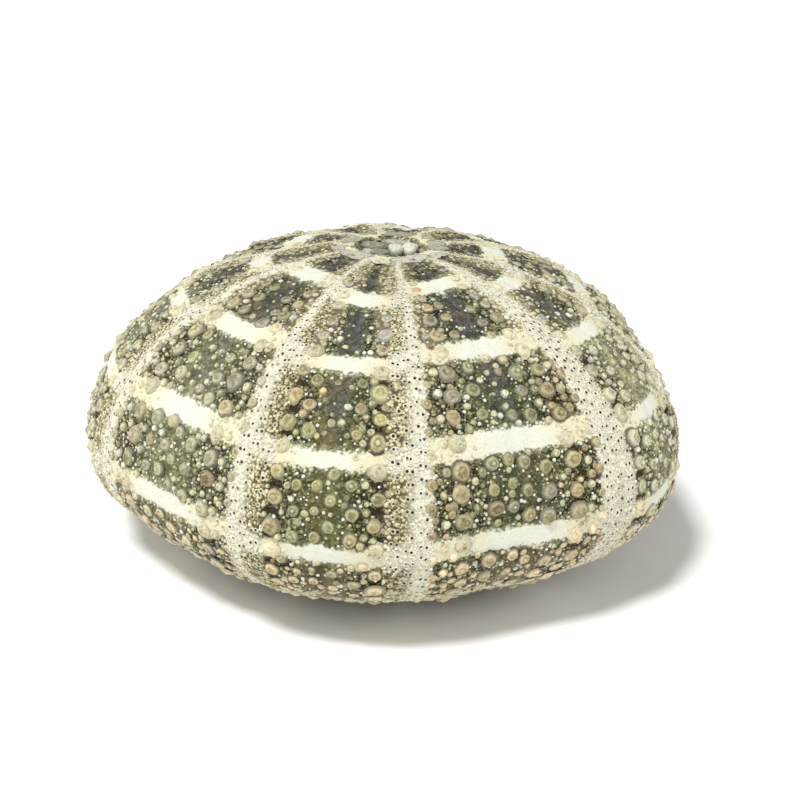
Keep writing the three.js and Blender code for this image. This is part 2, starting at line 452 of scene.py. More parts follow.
    def crevice(self, arc: Array, azimuth: Array) -> Array:
        """Share of the painted shade in the hollows on the seams between the knobs beside the pore zones.

        Args:
            arc: Arcs of the points.
            azimuth: Azimuths of the points.

        Returns:
            A flat-topped bell across the two strips of knobs, times a bell along the meridian.
        """
        fold = self.fold(azimuth)
        beside = np.zeros(np.broadcast(arc, azimuth).shape)
        for angle, strength in zip(self.crevice_angles, self.crevice_strengths):
            off = (fold - angle) * self.degree(arc) / self.crevice_half
            beside = np.maximum(beside, strength * np.exp(-(off**4)))
        along = np.exp(-((self.off_suture(arc, azimuth) / self.crevice_height) ** 2))
        shown = smooth(arc, *self.crevice_start) * (1 - smooth(self.band_depth(arc, azimuth), -0.8, 0.2))
        return beside * along * shown * (1 - 0.5 * smooth(arc, *self.crevice_fade))


@dataclass(frozen=True)
class Relief:
    """Height of the wall over the smooth surface.

    Attributes:
        zones: Where everything lies.
        dish_radius: Arc of the dish's edge.
        dish_depth: Depth of the dish.
        dish_slope: Length of its slope.
        apical_radius: Arc of the apical disc's edge.
        suture_depth: Depth of the plate seams.
        suture_width: Their width.
        middle_depth: Depth of the furrows along the middle lines.
        middle_width: Their width.
        pore_rise: Rise of the pore zones.
        swells: Height and length of the broad waves.
        pits: Height and length of the short ones.
        zigzag: Reach of the middle furrow's zigzag from end to end.
        wall_sink: Depth by which the wall lies back near the resting ring, to leave room for the knobs.
        shoulder_sink: The same on the shoulder.
        shoulder_start: Arcs over which that depth is reached.
        shoulder_end: Arcs over which it ends.
        fade: Length over which the relief fades out towards the resting ring.
    """

    zones: Zones
    dish_radius: float = 7.6
    dish_depth: float = 1.3
    dish_slope: float = 0.8
    apical_radius: float = 11.5
    suture_depth: float = 0.16
    suture_width: float = 0.45
    middle_depth: float = 0.4
    middle_width: float = 1.1
    pore_rise: float = 0.18
    swells: tuple[float, float] = (0.22, 16.0)
    pits: tuple[float, float] = (0.1, 3.2)
    zigzag: float = 0.8
    wall_sink: float = 0.45
    shoulder_sink: float = 0.45
    shoulder_start: tuple[float, float] = (10.0, 34.0)
    shoulder_end: tuple[float, float] = (62.0, 86.0)
    fade: float = 8.0

    def height(self, arc: Array, azimuth: Array) -> Array:
        """Sum of the dish at the pole, plate sutures, middle furrows, raised pore zones and noise.

        A suture or furrow is a bell over the distance from its line. The middle furrow zigzags with the
        plate rows, and the noise is weaker in the bands and the pore zones.

        Args:
            arc: Arcs of the points.
            azimuth: Azimuths of the points.

        Returns:
            The height in millimetres along the outward normal.
        """
        zones = self.zones
        points = zones.form.on_surface(arc, azimuth)
        length = zones.form.meridian.length
        outside_disc = smooth(arc, self.apical_radius - 1, self.apical_radius + 2)
        shown = outside_disc * (1 - smooth(arc, length - self.fade, length - 1))
        band = smooth(zones.band_depth(arc, azimuth), -0.6, 0.6)
        pores = smooth(zones.pore_depth(arc, azimuth), -0.7, 0.7)

        suture = np.exp(-((zones.off_suture(arc, azimuth) / self.suture_width) ** 2)) * (1 - pores)

        zigzag = (np.abs(zones.row(arc) % 1 - 0.5) * 2 - 0.5) * self.zigzag
        off_middle = zones.middle_distance(arc, azimuth) + zigzag * np.sign(zones.signed(azimuth))
        furrow = np.exp(-((off_middle / self.middle_width) ** 2))

        coarse = self.swells[0] * ripple(points, self.swells[1], Seed.SWELLS)
        fine = self.pits[0] * ripple(points, self.pits[1], Seed.PITS)
        fine = fine * (1 - 0.75 * band) * (1 - 0.8 * pores)
        dish = 1 - smooth(arc, self.dish_radius - self.dish_slope, self.dish_radius)
        shoulder = smooth(arc, *self.shoulder_start) * (1 - smooth(arc, *self.shoulder_end))
        sunk = self.wall_sink * (1 - smooth(arc, length - 20, length - 2)) + self.shoulder_sink * shoulder
        return (
            -self.dish_depth * dish
            - sunk
            + shown
            * (
                coarse
                + fine
                + self.pore_rise * pores
                - self.suture_depth * suture
                - self.middle_depth * furrow * (1 - 0.6 * band)
            )
        )

    def lifted(self, arc: Array, azimuth: Array) -> tuple[Array, Array, Array, Array]:
        """Frames of the form with their points lifted onto the wall.

        Args:
            arc: Arcs of the places.
            azimuth: Azimuths of the places.

        Returns:
            The lifted points and the directions across, up and outward.
        """
        point, across, up, normal = self.zones.form.frames(arc, azimuth)
        return point + normal * self.height(arc, azimuth)[..., None], across, up, normal


def mesh_object(
    name: str,
    vertices: Array,
    faces: list[Array],
    attributes: dict[str, Array],
    material: bpy.types.Material,
) -> bpy.types.Object:
    """Makes a smooth-shaded object from arrays, in metres at the origin.

    Args:
        name: The object's name.
        vertices: Points in millimetres, one row each.
        faces: Arrays of vertex numbers, one row a face, one array for each number of corners.
        attributes: Values for each vertex, as numbers or as colours with three parts.
        material: The finish.

    Returns:
        The linked object.
    """
    mesh = bpy.data.meshes.new(name)
    mesh.vertices.add(len(vertices))
    mesh.vertices.foreach_set("co", (vertices * MM).astype(np.float32).ravel())
    counts = np.concatenate([np.full(len(part), part.shape[1]) for part in faces])
    corners = np.concatenate([part.ravel() for part in faces]).astype(np.int32)
    mesh.loops.add(len(corners))
    mesh.loops.foreach_set("vertex_index", corners)
    mesh.polygons.add(len(counts))
    starts = np.concatenate([[0], np.cumsum(counts)[:-1]]).astype(np.int32)
    mesh.polygons.foreach_set("loop_start", starts)
    mesh.polygons.foreach_set("use_smooth", np.ones(len(counts), bool))
    mesh.update(calc_edges=True)
    for key, values in attributes.items():
        if values.ndim == 1:
            layer = mesh.attributes.new(key, "FLOAT", "POINT")
            layer.data.foreach_set("value", values.astype(np.float32))
        else:
            layer = mesh.attributes.new(key, "FLOAT_COLOR", "POINT")
            opaque = np.concatenate([values, np.ones((len(values), 1))], 1)
            layer.data.foreach_set("color", opaque.astype(np.float32).ravel())
    mesh.validate()
    mesh.materials.append(material)
    made = bpy.data.objects.new(name, mesh)
    bpy.context.scene.collection.objects.link(made)
    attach(made, BODY)
    return made


def report(piece: bpy.types.Object) -> None:
    """Logs a piece's name and size.

    Args:
        piece: The piece.
    """
    triangles = sum(len(face.vertices) - 2 for face in piece.data.polygons)
    LOG.info("%s: %d vertices, %d triangles", piece.name, len(piece.data.vertices), triangles)


class Graph:
    """A short way to write a node material."""

    def __init__(self, name: str) -> None:
        """Starts a material with a principled shader.

        Args:
            name: The material's name.
        """
        self.material = bpy.data.materials.new(name)
        self.material.use_nodes = True
        self.tree = self.material.node_tree
        self.shader = self.tree.nodes["Principled BSDF"]

    def set(self, node: bpy.types.Node, key: str | int, value: object) -> None:
        """Links a socket into an input, or sets the input's own value.

        Args:
            node: The node.
            key: Name or number of its input.
            value: A socket, a colour or a number.
        """
        if isinstance(value, bpy.types.NodeSocket):
            self.tree.links.new(value, node.inputs[key])
        elif isinstance(value, np.ndarray):
            node.inputs[key].default_value = (*value, 1.0)
        else:
            node.inputs[key].default_value = value

    def attribute(self, name: str, colour: bool = False) -> bpy.types.NodeSocket:
        """A named attribute of the mesh.

        Args:
            name: The attribute's name.
            colour: Whether it is a colour.

        Returns:
            The attribute's socket.
        """
        node = self.tree.nodes.new("ShaderNodeAttribute")
        node.attribute_name = name
        return node.outputs["Color" if colour else "Fac"]

    def noise(self, size: float, detail: float = 2.0, rough: float = 0.5) -> bpy.types.NodeSocket:
        """Noise on object coordinates with grains of about this many millimetres.

        Args:
            size: Size of the grains.
            detail: Number of finer layers.
            rough: Strength of each finer layer.

        Returns:
            The noise, about 0.5 on average.
        """
        coordinates = self.tree.nodes.new("ShaderNodeTexCoord")
        node = self.tree.nodes.new("ShaderNodeTexNoise")
        self.set(node, "Vector", coordinates.outputs["Object"])
        self.set(node, "Scale", 1 / (size * MM))
        self.set(node, "Detail", detail)
        self.set(node, "Roughness", rough)
        return node.outputs["Fac"]

    def cells(self, size: float) -> tuple[bpy.types.NodeSocket, bpy.types.NodeSocket]:
        """Rounded cells of about this many millimetres: distance from the middle, and a random tone.

        Args:
            size: Size of the cells.

        Returns:
            The distance as a share of the cell, and the tone.
        """
        coordinates = self.tree.nodes.new("ShaderNodeTexCoord")
        node = self.tree.nodes.new("ShaderNodeTexVoronoi")
        self.set(node, "Vector", coordinates.outputs["Object"])
        self.set(node, "Scale", 1 / (size * MM))
        tone = self.tree.nodes.new("ShaderNodeSeparateColor")
        self.set(tone, 0, node.outputs["Color"])
        return node.outputs["Distance"], tone.outputs[0]

    def math(self, operation: str, *values: object) -> bpy.types.NodeSocket:
        """One arithmetic step.

        Args:
            operation: Name of the step.
            *values: Sockets or numbers that go in.

        Returns:
            The result.
        """
        node = self.tree.nodes.new("ShaderNodeMath")
        node.operation = operation
        for i, value in enumerate(values):
            self.set(node, i, value)
        return node.outputs[0]

    def ramp(
        self, value: object, low: float, high: float, to_low: float = 0.0, to_high: float = 1.0
    ) -> bpy.types.NodeSocket:
        """Smooth change from one value to another while the input goes from low to high.

        Args:
            value: The input.
            low: Input where the change starts.
            high: Input where it ends.
            to_low: Value at the start.
            to_high: Value at the end.

        Returns:
            The changed value.
        """
        node = self.tree.nodes.new("ShaderNodeMapRange")
        node.interpolation_type = "SMOOTHSTEP"
        self.set(node, "Value", value)
        self.set(node, "From Min", low)
        self.set(node, "From Max", high)
        self.set(node, "To Min", to_low)
        self.set(node, "To Max", to_high)
        return node.outputs["Result"]

    def mix(self, share: object, first: object, second: object) -> bpy.types.NodeSocket:
        """Mix of two colours.

        Args:
            share: Share of the second.
            first: The first colour.
            second: The second colour.

        Returns:
            The mixed colour.
        """
        node = self.tree.nodes.new("ShaderNodeMix")
        node.data_type = "RGBA"
        self.set(node, 0, share)
        self.set(node, 6, first)
        self.set(node, 7, second)
        return node.outputs[2]

    def finish(
        self,
        colour: bpy.types.NodeSocket,
        roughness: object,
        bump: bpy.types.NodeSocket,
        bump_mm: float,
        specular: float = 0.5,
    ) -> bpy.types.Material:
        """Joins the colour, roughness and bump to the shader.

        Args:
            colour: Base colour.
            roughness: Roughness, as a socket or a number.
            bump: Height of the fine relief.
            bump_mm: Its full height in millimetres.
            specular: Strength of the shine.

        Returns:
            The material.
        """
        self.set(self.shader, "Base Color", colour)
        self.set(self.shader, "Roughness", roughness)
        self.set(self.shader, "Specular IOR Level", specular)
        node = self.tree.nodes.new("ShaderNodeBump")
        self.set(node, "Height", bump)
        self.set(node, "Distance", bump_mm * MM)
        self.tree.links.new(node.outputs["Normal"], self.shader.inputs["Normal"])
        return self.material


@dataclass(frozen=True)
class WallFinish:
    """Chalky lime wall: dark pebbly patches, white cross bands and granular cream pore zones."""

    white: Array = field(default_factory=lambda: linear(226, 226, 210))
    cream: Array = field(default_factory=lambda: linear(226, 221, 188))
    pore_white: Array = field(default_factory=lambda: linear(238, 236, 214))
    pore_cream: Array = field(default_factory=lambda: linear(224, 216, 170))
    # Painted shade in the gaps between the grains and pebbles.
    brown_gap_shade: Array = field(default_factory=lambda: linear(66, 56, 32))
    gap_grey: Array = field(default_factory=lambda: linear(226, 221, 196))
    shadow: Array = field(default_factory=lambda: linear(12, 12, 8))
    # Painted shade in the hollows between the knobs.
    crevice: Array = field(default_factory=lambda: linear(44, 34, 20))
    lichen: Array = field(default_factory=lambda: linear(190, 188, 142))
    inside: Array = field(default_factory=lambda: linear(214, 212, 192))
    pebble: float = 1.05
    grain: float = 0.72

    def patches(
        self,
        graph: Graph,
        mottle: bpy.types.NodeSocket,
        grit: bpy.types.NodeSocket,
        band_edge: bpy.types.NodeSocket,
    ) -> tuple[bpy.types.NodeSocket, bpy.types.NodeSocket]:
        """Colour of the dark patches.

        The patch tone gets dark specks, light pebbles with painted shade in the gaps, a light halo beside
        the bands, grit, the pale flanks beside the pore zones with painted shade between their pebbles,
        and painted shade in the hollows between the knobs, in this order.

        Args:
            graph: The material.
            mottle: Noise of middling size.
            grit: Fine noise.
            band_edge: Wandering distance into the nearest band, in millimetres.

        Returns:
            The colour, and the gaps between the pebbles.
        """
        halo = graph.ramp(band_edge, -1.2, -0.1)
        crowded = graph.ramp(graph.attribute("inward"), 0.85, 0.45)
        off_pebble, pebble_tone = graph.cells(self.pebble)
        gaps = graph.ramp(off_pebble, 0.26, 0.56)
        patch = graph.attribute("patch", True)
        dark = graph.mix(graph.ramp(mottle, 0.62, 0.4, 0.0, 0.5), patch, self.shadow)
        lit = graph.math("MULTIPLY", graph.ramp(pebble_tone, 0.4, 1.0, 0.0, 0.85), crowded)
        dark = graph.mix(lit, dark, self.lichen)
        # Painted shade in the gaps between the pebbles, deeper where the patch is crowded.
        sunk = graph.math("MULTIPLY", gaps, graph.math("MULTIPLY_ADD", crowded, 0.62, 0.18))
        dark = graph.mix(sunk, dark, self.shadow)
        dark = graph.mix(graph.math("MULTIPLY", halo, 0.4), dark, self.lichen)
        coarse = graph.math("MULTIPLY_ADD", crowded, 0.7, 0.3)
        light_grit = graph.math("MULTIPLY", graph.ramp(grit, 0.52, 0.72, 0.0, 0.65), coarse)
        dark = graph.mix(light_grit, dark, self.lichen)
        dark_grit = graph.math("MULTIPLY", graph.ramp(grit, 0.5, 0.32, 0.0, 0.8), coarse)
        dark = graph.mix(dark_grit, dark, self.shadow)
        # Painted shade in the gaps between the pebbles of the pale flanks.
        pebbly = graph.mix(graph.math("MULTIPLY", gaps, 0.8), self.pore_cream, self.brown_gap_shade)
        dark = graph.mix(graph.math("MULTIPLY", graph.attribute("flank"), 0.8), dark, pebbly)
        # Painted shade in the hollows on the seams between the knobs, with ragged edges.
        torn = graph.math("MULTIPLY_ADD", grit, -1.1, graph.attribute("crevice"))
        hollow = graph.math("MULTIPLY", graph.ramp(torn, -0.35, 0.05), 0.85)
        return graph.mix(hollow, dark, self.crevice), gaps

    def bands(
        self, graph: Graph, mottle: bpy.types.NodeSocket, grit: bpy.types.NodeSocket
    ) -> bpy.types.NodeSocket:
        """Colour of the pale bands: white on the bare middle strips, cream and stained beside them.

        Args:
            graph: The material.
            mottle: Noise of middling size.
            grit: Fine noise.

        Returns:
            The colour.
        """
        inner = graph.math("MULTIPLY_ADD", graph.noise(3.5), 0.7, graph.attribute("inward"))
        bare = graph.ramp(inner, 0.6, 1.1)
        pale = graph.mix(bare, self.cream, self.white)
        stain = graph.math("MULTIPLY", graph.ramp(mottle, 0.5, 0.7, 0.0, 0.5), graph.ramp(bare, 1.0, 0.0))
        pale = graph.mix(stain, pale, self.pore_cream)
        return graph.mix(graph.ramp(grit, 0.5, 0.3, 0.0, 0.22), pale, self.gap_grey)

    def pore_lime(
        self, graph: Graph, band_edge: bpy.types.NodeSocket
    ) -> tuple[bpy.types.NodeSocket, bpy.types.NodeSocket]:
        """Colour of the pore zones: cream grains, whiter in the bands and on the white side, with painted
        shade in the gaps.

        Args:
            graph: The material.
            band_edge: Wandering distance into the nearest band, in millimetres.

        Returns:
            The colour, and the gaps between the grains.
        """
        off_grain, grain_tone = graph.cells(self.grain)
        gaps = graph.ramp(off_grain, 0.34, 0.6)
        whiter = graph.math("MAXIMUM", graph.ramp(band_edge, -1.5, 0.8), graph.attribute("pore_white"))
        lime = graph.mix(whiter, self.pore_cream, self.pore_white)
        lime = graph.mix(graph.ramp(grain_tone, 0.6, 1.0, 0.0, 0.7), lime, self.pore_white)
        # Painted shade in the gaps between the grains: brown, and pale grey where the lime is whiter.
        gap_tone = graph.mix(whiter, self.brown_gap_shade, self.gap_grey)
        return graph.mix(graph.math("MULTIPLY", gaps, 0.92), lime, gap_tone), gaps

    def material(self) -> bpy.types.Material:
        """Builds the node material.

        Noise makes the edges of the bands and pore zones wander, and each zone's colour is mixed in by a
        smooth step over the distance into it.

        Returns:
            The material.
        """
        graph = Graph("lime_wall")
        mottle = graph.noise(1.4, 3.0, 0.6)
        grit = graph.noise(0.42, 2.0, 0.6)
        fine = graph.math("MULTIPLY_ADD", graph.noise(0.7, 2.0), 1.8, -0.9)
        wander = graph.math("ADD", graph.math("MULTIPLY_ADD", graph.noise(2.8), 2.6, -1.3), fine)
        band_edge = graph.math("ADD", graph.attribute("band_mm"), wander)
        pore_edge = graph.math("ADD", graph.attribute("pore_mm"), wander)
        band = graph.ramp(band_edge, -0.3, 0.35)
        pores = graph.ramp(pore_edge, -0.8, 0.6)

        dark, pebble_gaps = self.patches(graph, mottle, grit, band_edge)
        colour = graph.mix(band, dark, self.bands(graph, mottle, grit))
        lime, grain_gaps = self.pore_lime(graph, band_edge)
        colour = graph.mix(pores, colour, lime)
        colour = graph.mix(graph.attribute("inside"), colour, self.inside)

        relief = graph.math("MULTIPLY", pebble_gaps, graph.math("SUBTRACT", 1.0, band))
        relief = graph.math("MAXIMUM", relief, graph.math("MULTIPLY", grain_gaps, pores))
        height = graph.math("MULTIPLY_ADD", relief, -0.8, graph.noise(0.6, 4.0, 0.65))
        return graph.finish(colour, graph.ramp(mottle, 0.3, 0.7, 0.55, 0.75), height, 0.4, 0.15)


@dataclass(frozen=True)
class KnobFinish:
    """Denser, slightly polished lime of the tubercles, tinted knob by knob, with painted shade round the
    foot and in the groove.
    """

    name: str = "knob_lime"
    rough: float = 0.5
    worn: float = 0.35
    # Strength of the painted highlight on the boss.
    boss_light: float = 0.6
    ring_light: float = 0.24
    # Dark tone of the grime specks and of the painted shade round the foot and in the groove.
    grime_and_shade: Array = field(default_factory=lambda: linear(34, 31, 21))
    umber: Array = field(default_factory=lambda: linear(118, 84, 46))
    pale: Array = field(default_factory=lambda: linear(228, 223, 192))

    def material(self) -> bpy.types.Material:
        """Builds the node material.

        Returns:
            The material.
        """
        graph = Graph(self.name)
        mottle = graph.noise(0.7, 4.0, 0.7)
        tint = graph.attribute("tint", True)
        painted_shade = graph.attribute("painted_shade")
        boss_highlight_and_stain = graph.attribute("boss_highlight_and_stain")
        colour = graph.mix(graph.ramp(mottle, 0.45, 0.75, 0.0, self.worn), tint, self.pale)
        colour = graph.mix(graph.ramp(mottle, 0.54, 0.3, 0.0, 0.6), colour, self.grime_and_shade)
        foot = graph.math("ADD", graph.attribute("rim"), graph.math("MULTIPLY_ADD", mottle, 0.6, -0.3))
        colour = graph.mix(graph.ramp(foot, 0.5, 0.82, 0.0, self.ring_light), colour, self.pale)
        # Painted shade round the foot of each knob, where it meets the wall.
        low = graph.math("MULTIPLY", graph.ramp(foot, 0.86, 1.12, 0.0, 0.92), painted_shade)
        colour = graph.mix(low, colour, self.grime_and_shade)
        # Painted highlight on the boss where the value is above zero, an umber stain where it is below.
        boss = graph.ramp(graph.attribute("rim"), 0.38, 0.14, 0.0, self.boss_light)
        colour = graph.mix(graph.math("MULTIPLY", boss, graph.ramp(boss_highlight_and_stain, 0.2, 0.8)), colour, self.pale)
        colour = graph.mix(graph.math("MULTIPLY", boss, graph.ramp(boss_highlight_and_stain, -0.2, -0.8)), colour, self.umber)
        # Painted shade in the groove round the boss.
        groove = graph.math("MULTIPLY", graph.attribute("groove"), graph.math("MULTIPLY", painted_shade, 0.6))
        colour = graph.mix(groove, colour, self.grime_and_shade)
        return graph.finish(colour, self.rough, graph.noise(0.45, 4.0, 0.65), 0.32)


@dataclass(frozen=True)
class PoreFinish:
    """Cream rims of the tube-foot pores, with painted shade in the openings and round the feet of the
    granules.
    """

    # Painted shade for the openings of the pores and gonopores.
    hole: Array = field(default_factory=lambda: linear(38, 31, 18))
    # Dark tone of the mottling and of the painted shade round the granules' feet.
    gap: Array = field(default_factory=lambda: linear(84, 73, 42))

    def material(self) -> bpy.types.Material:
        """Builds the node material.

        Returns:
            The material.
        """
        graph = Graph("pore_lime")
        mottle = graph.noise(0.8, 2.0)
        tint = graph.attribute("tint", True)
        shade = graph.mix(graph.ramp(mottle, 0.58, 0.35, 0.0, 0.45), tint, self.gap)
        # Painted shade round the foot of each granule.
        foot = graph.ramp(graph.attribute("rim"), 0.75, 1.1)
        grime_and_shade = graph.math("MULTIPLY", graph.math("MULTIPLY", foot, graph.attribute("painted_shade")), 0.7)
        shade = graph.mix(grime_and_shade, shade, self.gap)
        # Painted shade in the openings, on the last ring and the closing point.
        colour = graph.mix(graph.ramp(graph.attribute("hole"), 0.35, 0.7), shade, self.hole)
        return graph.finish(colour, 0.5, graph.noise(0.3, 2.0), 0.05, 0.25)


@dataclass(frozen=True)
class Stamp:
    """A small solid of revolution, stamped many times onto the wall.

    Attributes:
        profile: Share of the radius and share of the height of each ring, from the foot to the top.
        sides: Corners of a ring.
        top: Height of the closing point, as a share.
        groove_at: Share of the radius at which a groove with painted shade runs round, or 0 for none.
        groove_width: Width of the groove, as a share of the radius.
        floor_z: Least height of a point over the resting plane.
    """

    profile: tuple[tuple[float, float], ...]
    sides: int
    top: float = 1.0
    groove_at: float = 0.0
    groove_width: float = 0.07
    floor_z: float = 0.03

    @property
    def vertices_each(self) -> int:
        """Vertices of one copy."""
        return len(self.profile) * self.sides + 1

    def faces(self, count: int) -> list[Array]:
        """Faces of all copies: quads between the rings and triangles that close the top.

        Args:
            count: Number of copies.

        Returns:
            The quads and the triangles, as vertex numbers.
        """
        edge = np.arange(self.sides)
        after = (edge + 1) % self.sides
        below = np.arange(len(self.profile) - 1)[:, None] * self.sides
        above = below + self.sides
        quads = np.stack([below + edge, below + after, above + after, above + edge], -1).reshape(1, -1, 4)
        last = (len(self.profile) - 1) * self.sides
        caps = np.stack([last + edge, last + after, np.full(self.sides, self.vertices_each - 1)], -1)
        first = (np.arange(count) * self.vertices_each)[:, None, None]
        return [(quads + first).reshape(-1, 4), (caps[None] + first).reshape(-1, 3)]

    def marks(self, count: int) -> dict[str, Array]:
        """Attributes of all copies.

        The rim is the share of the radius, the groove a bell round its own share, and the hole one on
        the last ring and the closing point.

        Args:
            count: Number of copies.

        Returns:
            The attributes rim, groove and hole.
        """
        rim = np.append(np.repeat([share for share, _ in self.profile], self.sides), 0.0)
        groove = np.exp(-(((rim - self.groove_at) / self.groove_width) ** 2)) * (self.groove_at > 0)
        hole = (np.arange(self.vertices_each) >= self.vertices_each - 1 - self.sides).astype(float)
        return {"rim": np.tile(rim, count), "groove": np.tile(groove, count), "hole": np.tile(hole, count)}

    def build(
        self,
        relief: Relief,
        arc: Array,
        azimuth: Array,
        radius: Array,
        height: Array,
        outline: Array | None = None,
        lift: float = 0.0,
    ) -> tuple[Array, list[Array], dict[str, Array]]:
        """Vertices, faces and ring attributes of all copies.

        A ring point is the place plus the radius share times the cosine and sine along the two surface
        directions, plus the height share along the normal.

        Args:
            relief: The wall that carries the copies.
            arc: Arc of each copy.
            azimuth: Azimuth of each copy.
            radius: Radius of each copy.
            height: Height of each copy.
            outline: Factors on the radius, a row for each copy and a column for each side.
            lift: Distance by which all copies stand over the wall.

        Returns:
            The vertices, a list of face arrays and the attributes rim, groove and hole.
        """
        point, across, up, normal = relief.lifted(arc, azimuth)
        point = point + normal * lift
        count = len(arc)
        turn = np.arange(self.sides) * 2 * math.pi / self.sides
        turn = turn[None, :] + (np.arange(count) * STAMP_TURN)[:, None]
        factor = np.ones((count, self.sides)) if outline is None else outline
        shares = np.array(self.profile)
        reach = radius[:, None, None] * shares[None, :, 0, None] * factor[:, None, :]
        x, y = reach * np.cos(turn)[:, None, :], reach * np.sin(turn)[:, None, :]
        z = np.broadcast_to((height[:, None] * shares[None, :, 1])[..., None], x.shape)
        ring_points = (
            point[:, None, None]
            + x[..., None] * across[:, None, None]
            + y[..., None] * up[:, None, None]
            + z[..., None] * normal[:, None, None]
        ).reshape(count, self.vertices_each - 1, 3)
        tops = point + normal * (height * self.top)[:, None]
        vertices = np.concatenate([ring_points, tops[:, None]], 1).reshape(-1, 3)
        vertices[:, 2] = np.maximum(vertices[:, 2], self.floor_z)
        return vertices, self.faces(count), self.marks(count)


@dataclass
class Spots:
    """Places, sizes and tints of one kind of small solid.

    Attributes:
        arc: Arcs.
        azimuth: Azimuths.
        radius: Radii.
        tint: Linear colours, one row for each spot.
    """

    arc: Array
    azimuth: Array
    radius: Array
    tint: Array

    def pick(self, keep: Array) -> "Spots":
        """The spots for which keep is true."""
        return Spots(self.arc[keep], self.azimuth[keep], self.radius[keep], self.tint[keep])

    @staticmethod
    def joined(parts: list["Spots"]) -> "Spots":
        """All parts in one."""
        names = ("arc", "azimuth", "radius", "tint")
        return Spots(*(np.concatenate([getattr(part, name) for part in parts]) for name in names))


def scattered(form: Form, gap: float, first: float, last: float, seed: int) -> tuple[Array, Array]:
    """Places in rough rows a gap apart, each moved a little.

    Args:
        form: The surface.
        gap: Mean distance between neighbours.
        first: Lowest arc.
        last: Highest arc.
        seed: Seed of the moves.

    Returns:
        The arcs and the azimuths.
    """
    row_gap = 0.87 * gap
    rng = np.random.default_rng(seed)
    rows = np.arange(first, last, row_gap)
    around = np.maximum(5, 2 * math.pi * form.meridian.at(rows, "radius") / gap).astype(int)
    arc = np.repeat(rows, around) + rng.uniform(-0.4, 0.4, around.sum()) * gap
    starts = np.concatenate([[0], np.cumsum(around)[:-1]])
    number = np.arange(around.sum()) - np.repeat(starts, around)
    share = (number + rng.uniform(0.1, 0.9, around.sum())) / np.repeat(around, around)
    return arc, share * 360


def clear_of(form: Form, spots: Spots, others: Spots, gap: float, chunk: int = 1500) -> Array:
    """Tells for each spot whether it stands at least a gap clear of all the others.

    Args:
        form: The surface.
        spots: The spots that are asked about.
        others: The spots to stand clear of.
        gap: Least distance between the edges.
        chunk: Number of spots looked at together.

    Returns:
        True for each spot that is clear.
    """
    here = form.on_surface(spots.arc, spots.azimuth).astype(np.float32)
    there = form.on_surface(others.arc, others.azimuth).astype(np.float32)
    clear = np.ones(len(here), bool)
    for start in range(0, len(here), chunk):
        part = slice(start, start + chunk)
        apart = np.linalg.norm(here[part, None] - there[None], axis=-1)
        needed = spots.radius[part, None] + others.radius[None] + gap
        clear[part] = (apart > needed).all(1)
    return clear


class Side(Enum):
    """The two halves of a lobe, whose plate rows are staggered."""

    RIGHT = 1
    LEFT = -1


@dataclass(frozen=True)
class Column:
    """One column of tubercles in each half lobe.

    Attributes:
        angle: Degrees from the middle of the ambulacrum.
        radius: Radius at the girth.
        first: Arc at which the column starts.
        last: Arc at which it ends.
        right: An arc where the right half has a tubercle.
        left: The same for the left half.
        in_bands: Whether the column goes on through the white bands.
        tints: Colours to choose from.
    """

    angle: float
    radius: float
    first: float
    last: float
    right: float
    left: float
    in_bands: bool
    tints: tuple[Tone, ...]


TAN = (180, 157, 110)
ROSE = (156, 130, 98)
MAUVE = (146, 136, 120)
SAGE = (142, 146, 104)
OLIVE = (140, 136, 82)
OCHRE = (170, 150, 90)
MOSS = (118, 122, 74)
BEIGE = (218, 205, 156)
BEAD = (208, 208, 166)
PEARL = (232, 232, 206)
GLINT = (250, 250, 236)

COLUMNS = (
    Column(24.5, 1.65, 13, 123, 68.4, 70.7, True, (TAN, ROSE, MAUVE, TAN, OLIVE)),
    Column(30.2, 1.4, 30, 118, 68.0, 70.4, False, (OCHRE, SAGE, OLIVE, MAUVE)),
    Column(34.5, 1.2, 58, 110, 72.4, 74.2, False, (OCHRE, OLIVE, SAGE)),
    Column(18.7, 1.0, 50, 122, 70.5, 73.0, True, (TAN, ROSE, TAN)),
    Column(9.0, 1.5, 14, 123, 72.7, 74.3, True, (OLIVE, OCHRE, OLIVE, TAN)),
    Column(5.1, 1.25, 50, 118, 75.5, 76.1, False, (OLIVE, SAGE, MOSS, OCHRE)),
    Column(1.5, 1.05, 64, 106, 78.3, 80.9, False, (SAGE, OLIVE, MOSS)),
)
BEAD_COLUMNS = (
    Column(21.3, 0.88, 20, 121, 68.4, 70.7, True, (BEAD, BEAD, PEARL)),
    Column(27.4, 0.8, 34, 118, 71.0, 73.2, False, (BEAD, SAGE, PEARL)),
    Column(7.1, 0.75, 34, 118, 70.0, 71.6, False, (BEAD, BEAD, SAGE)),
)


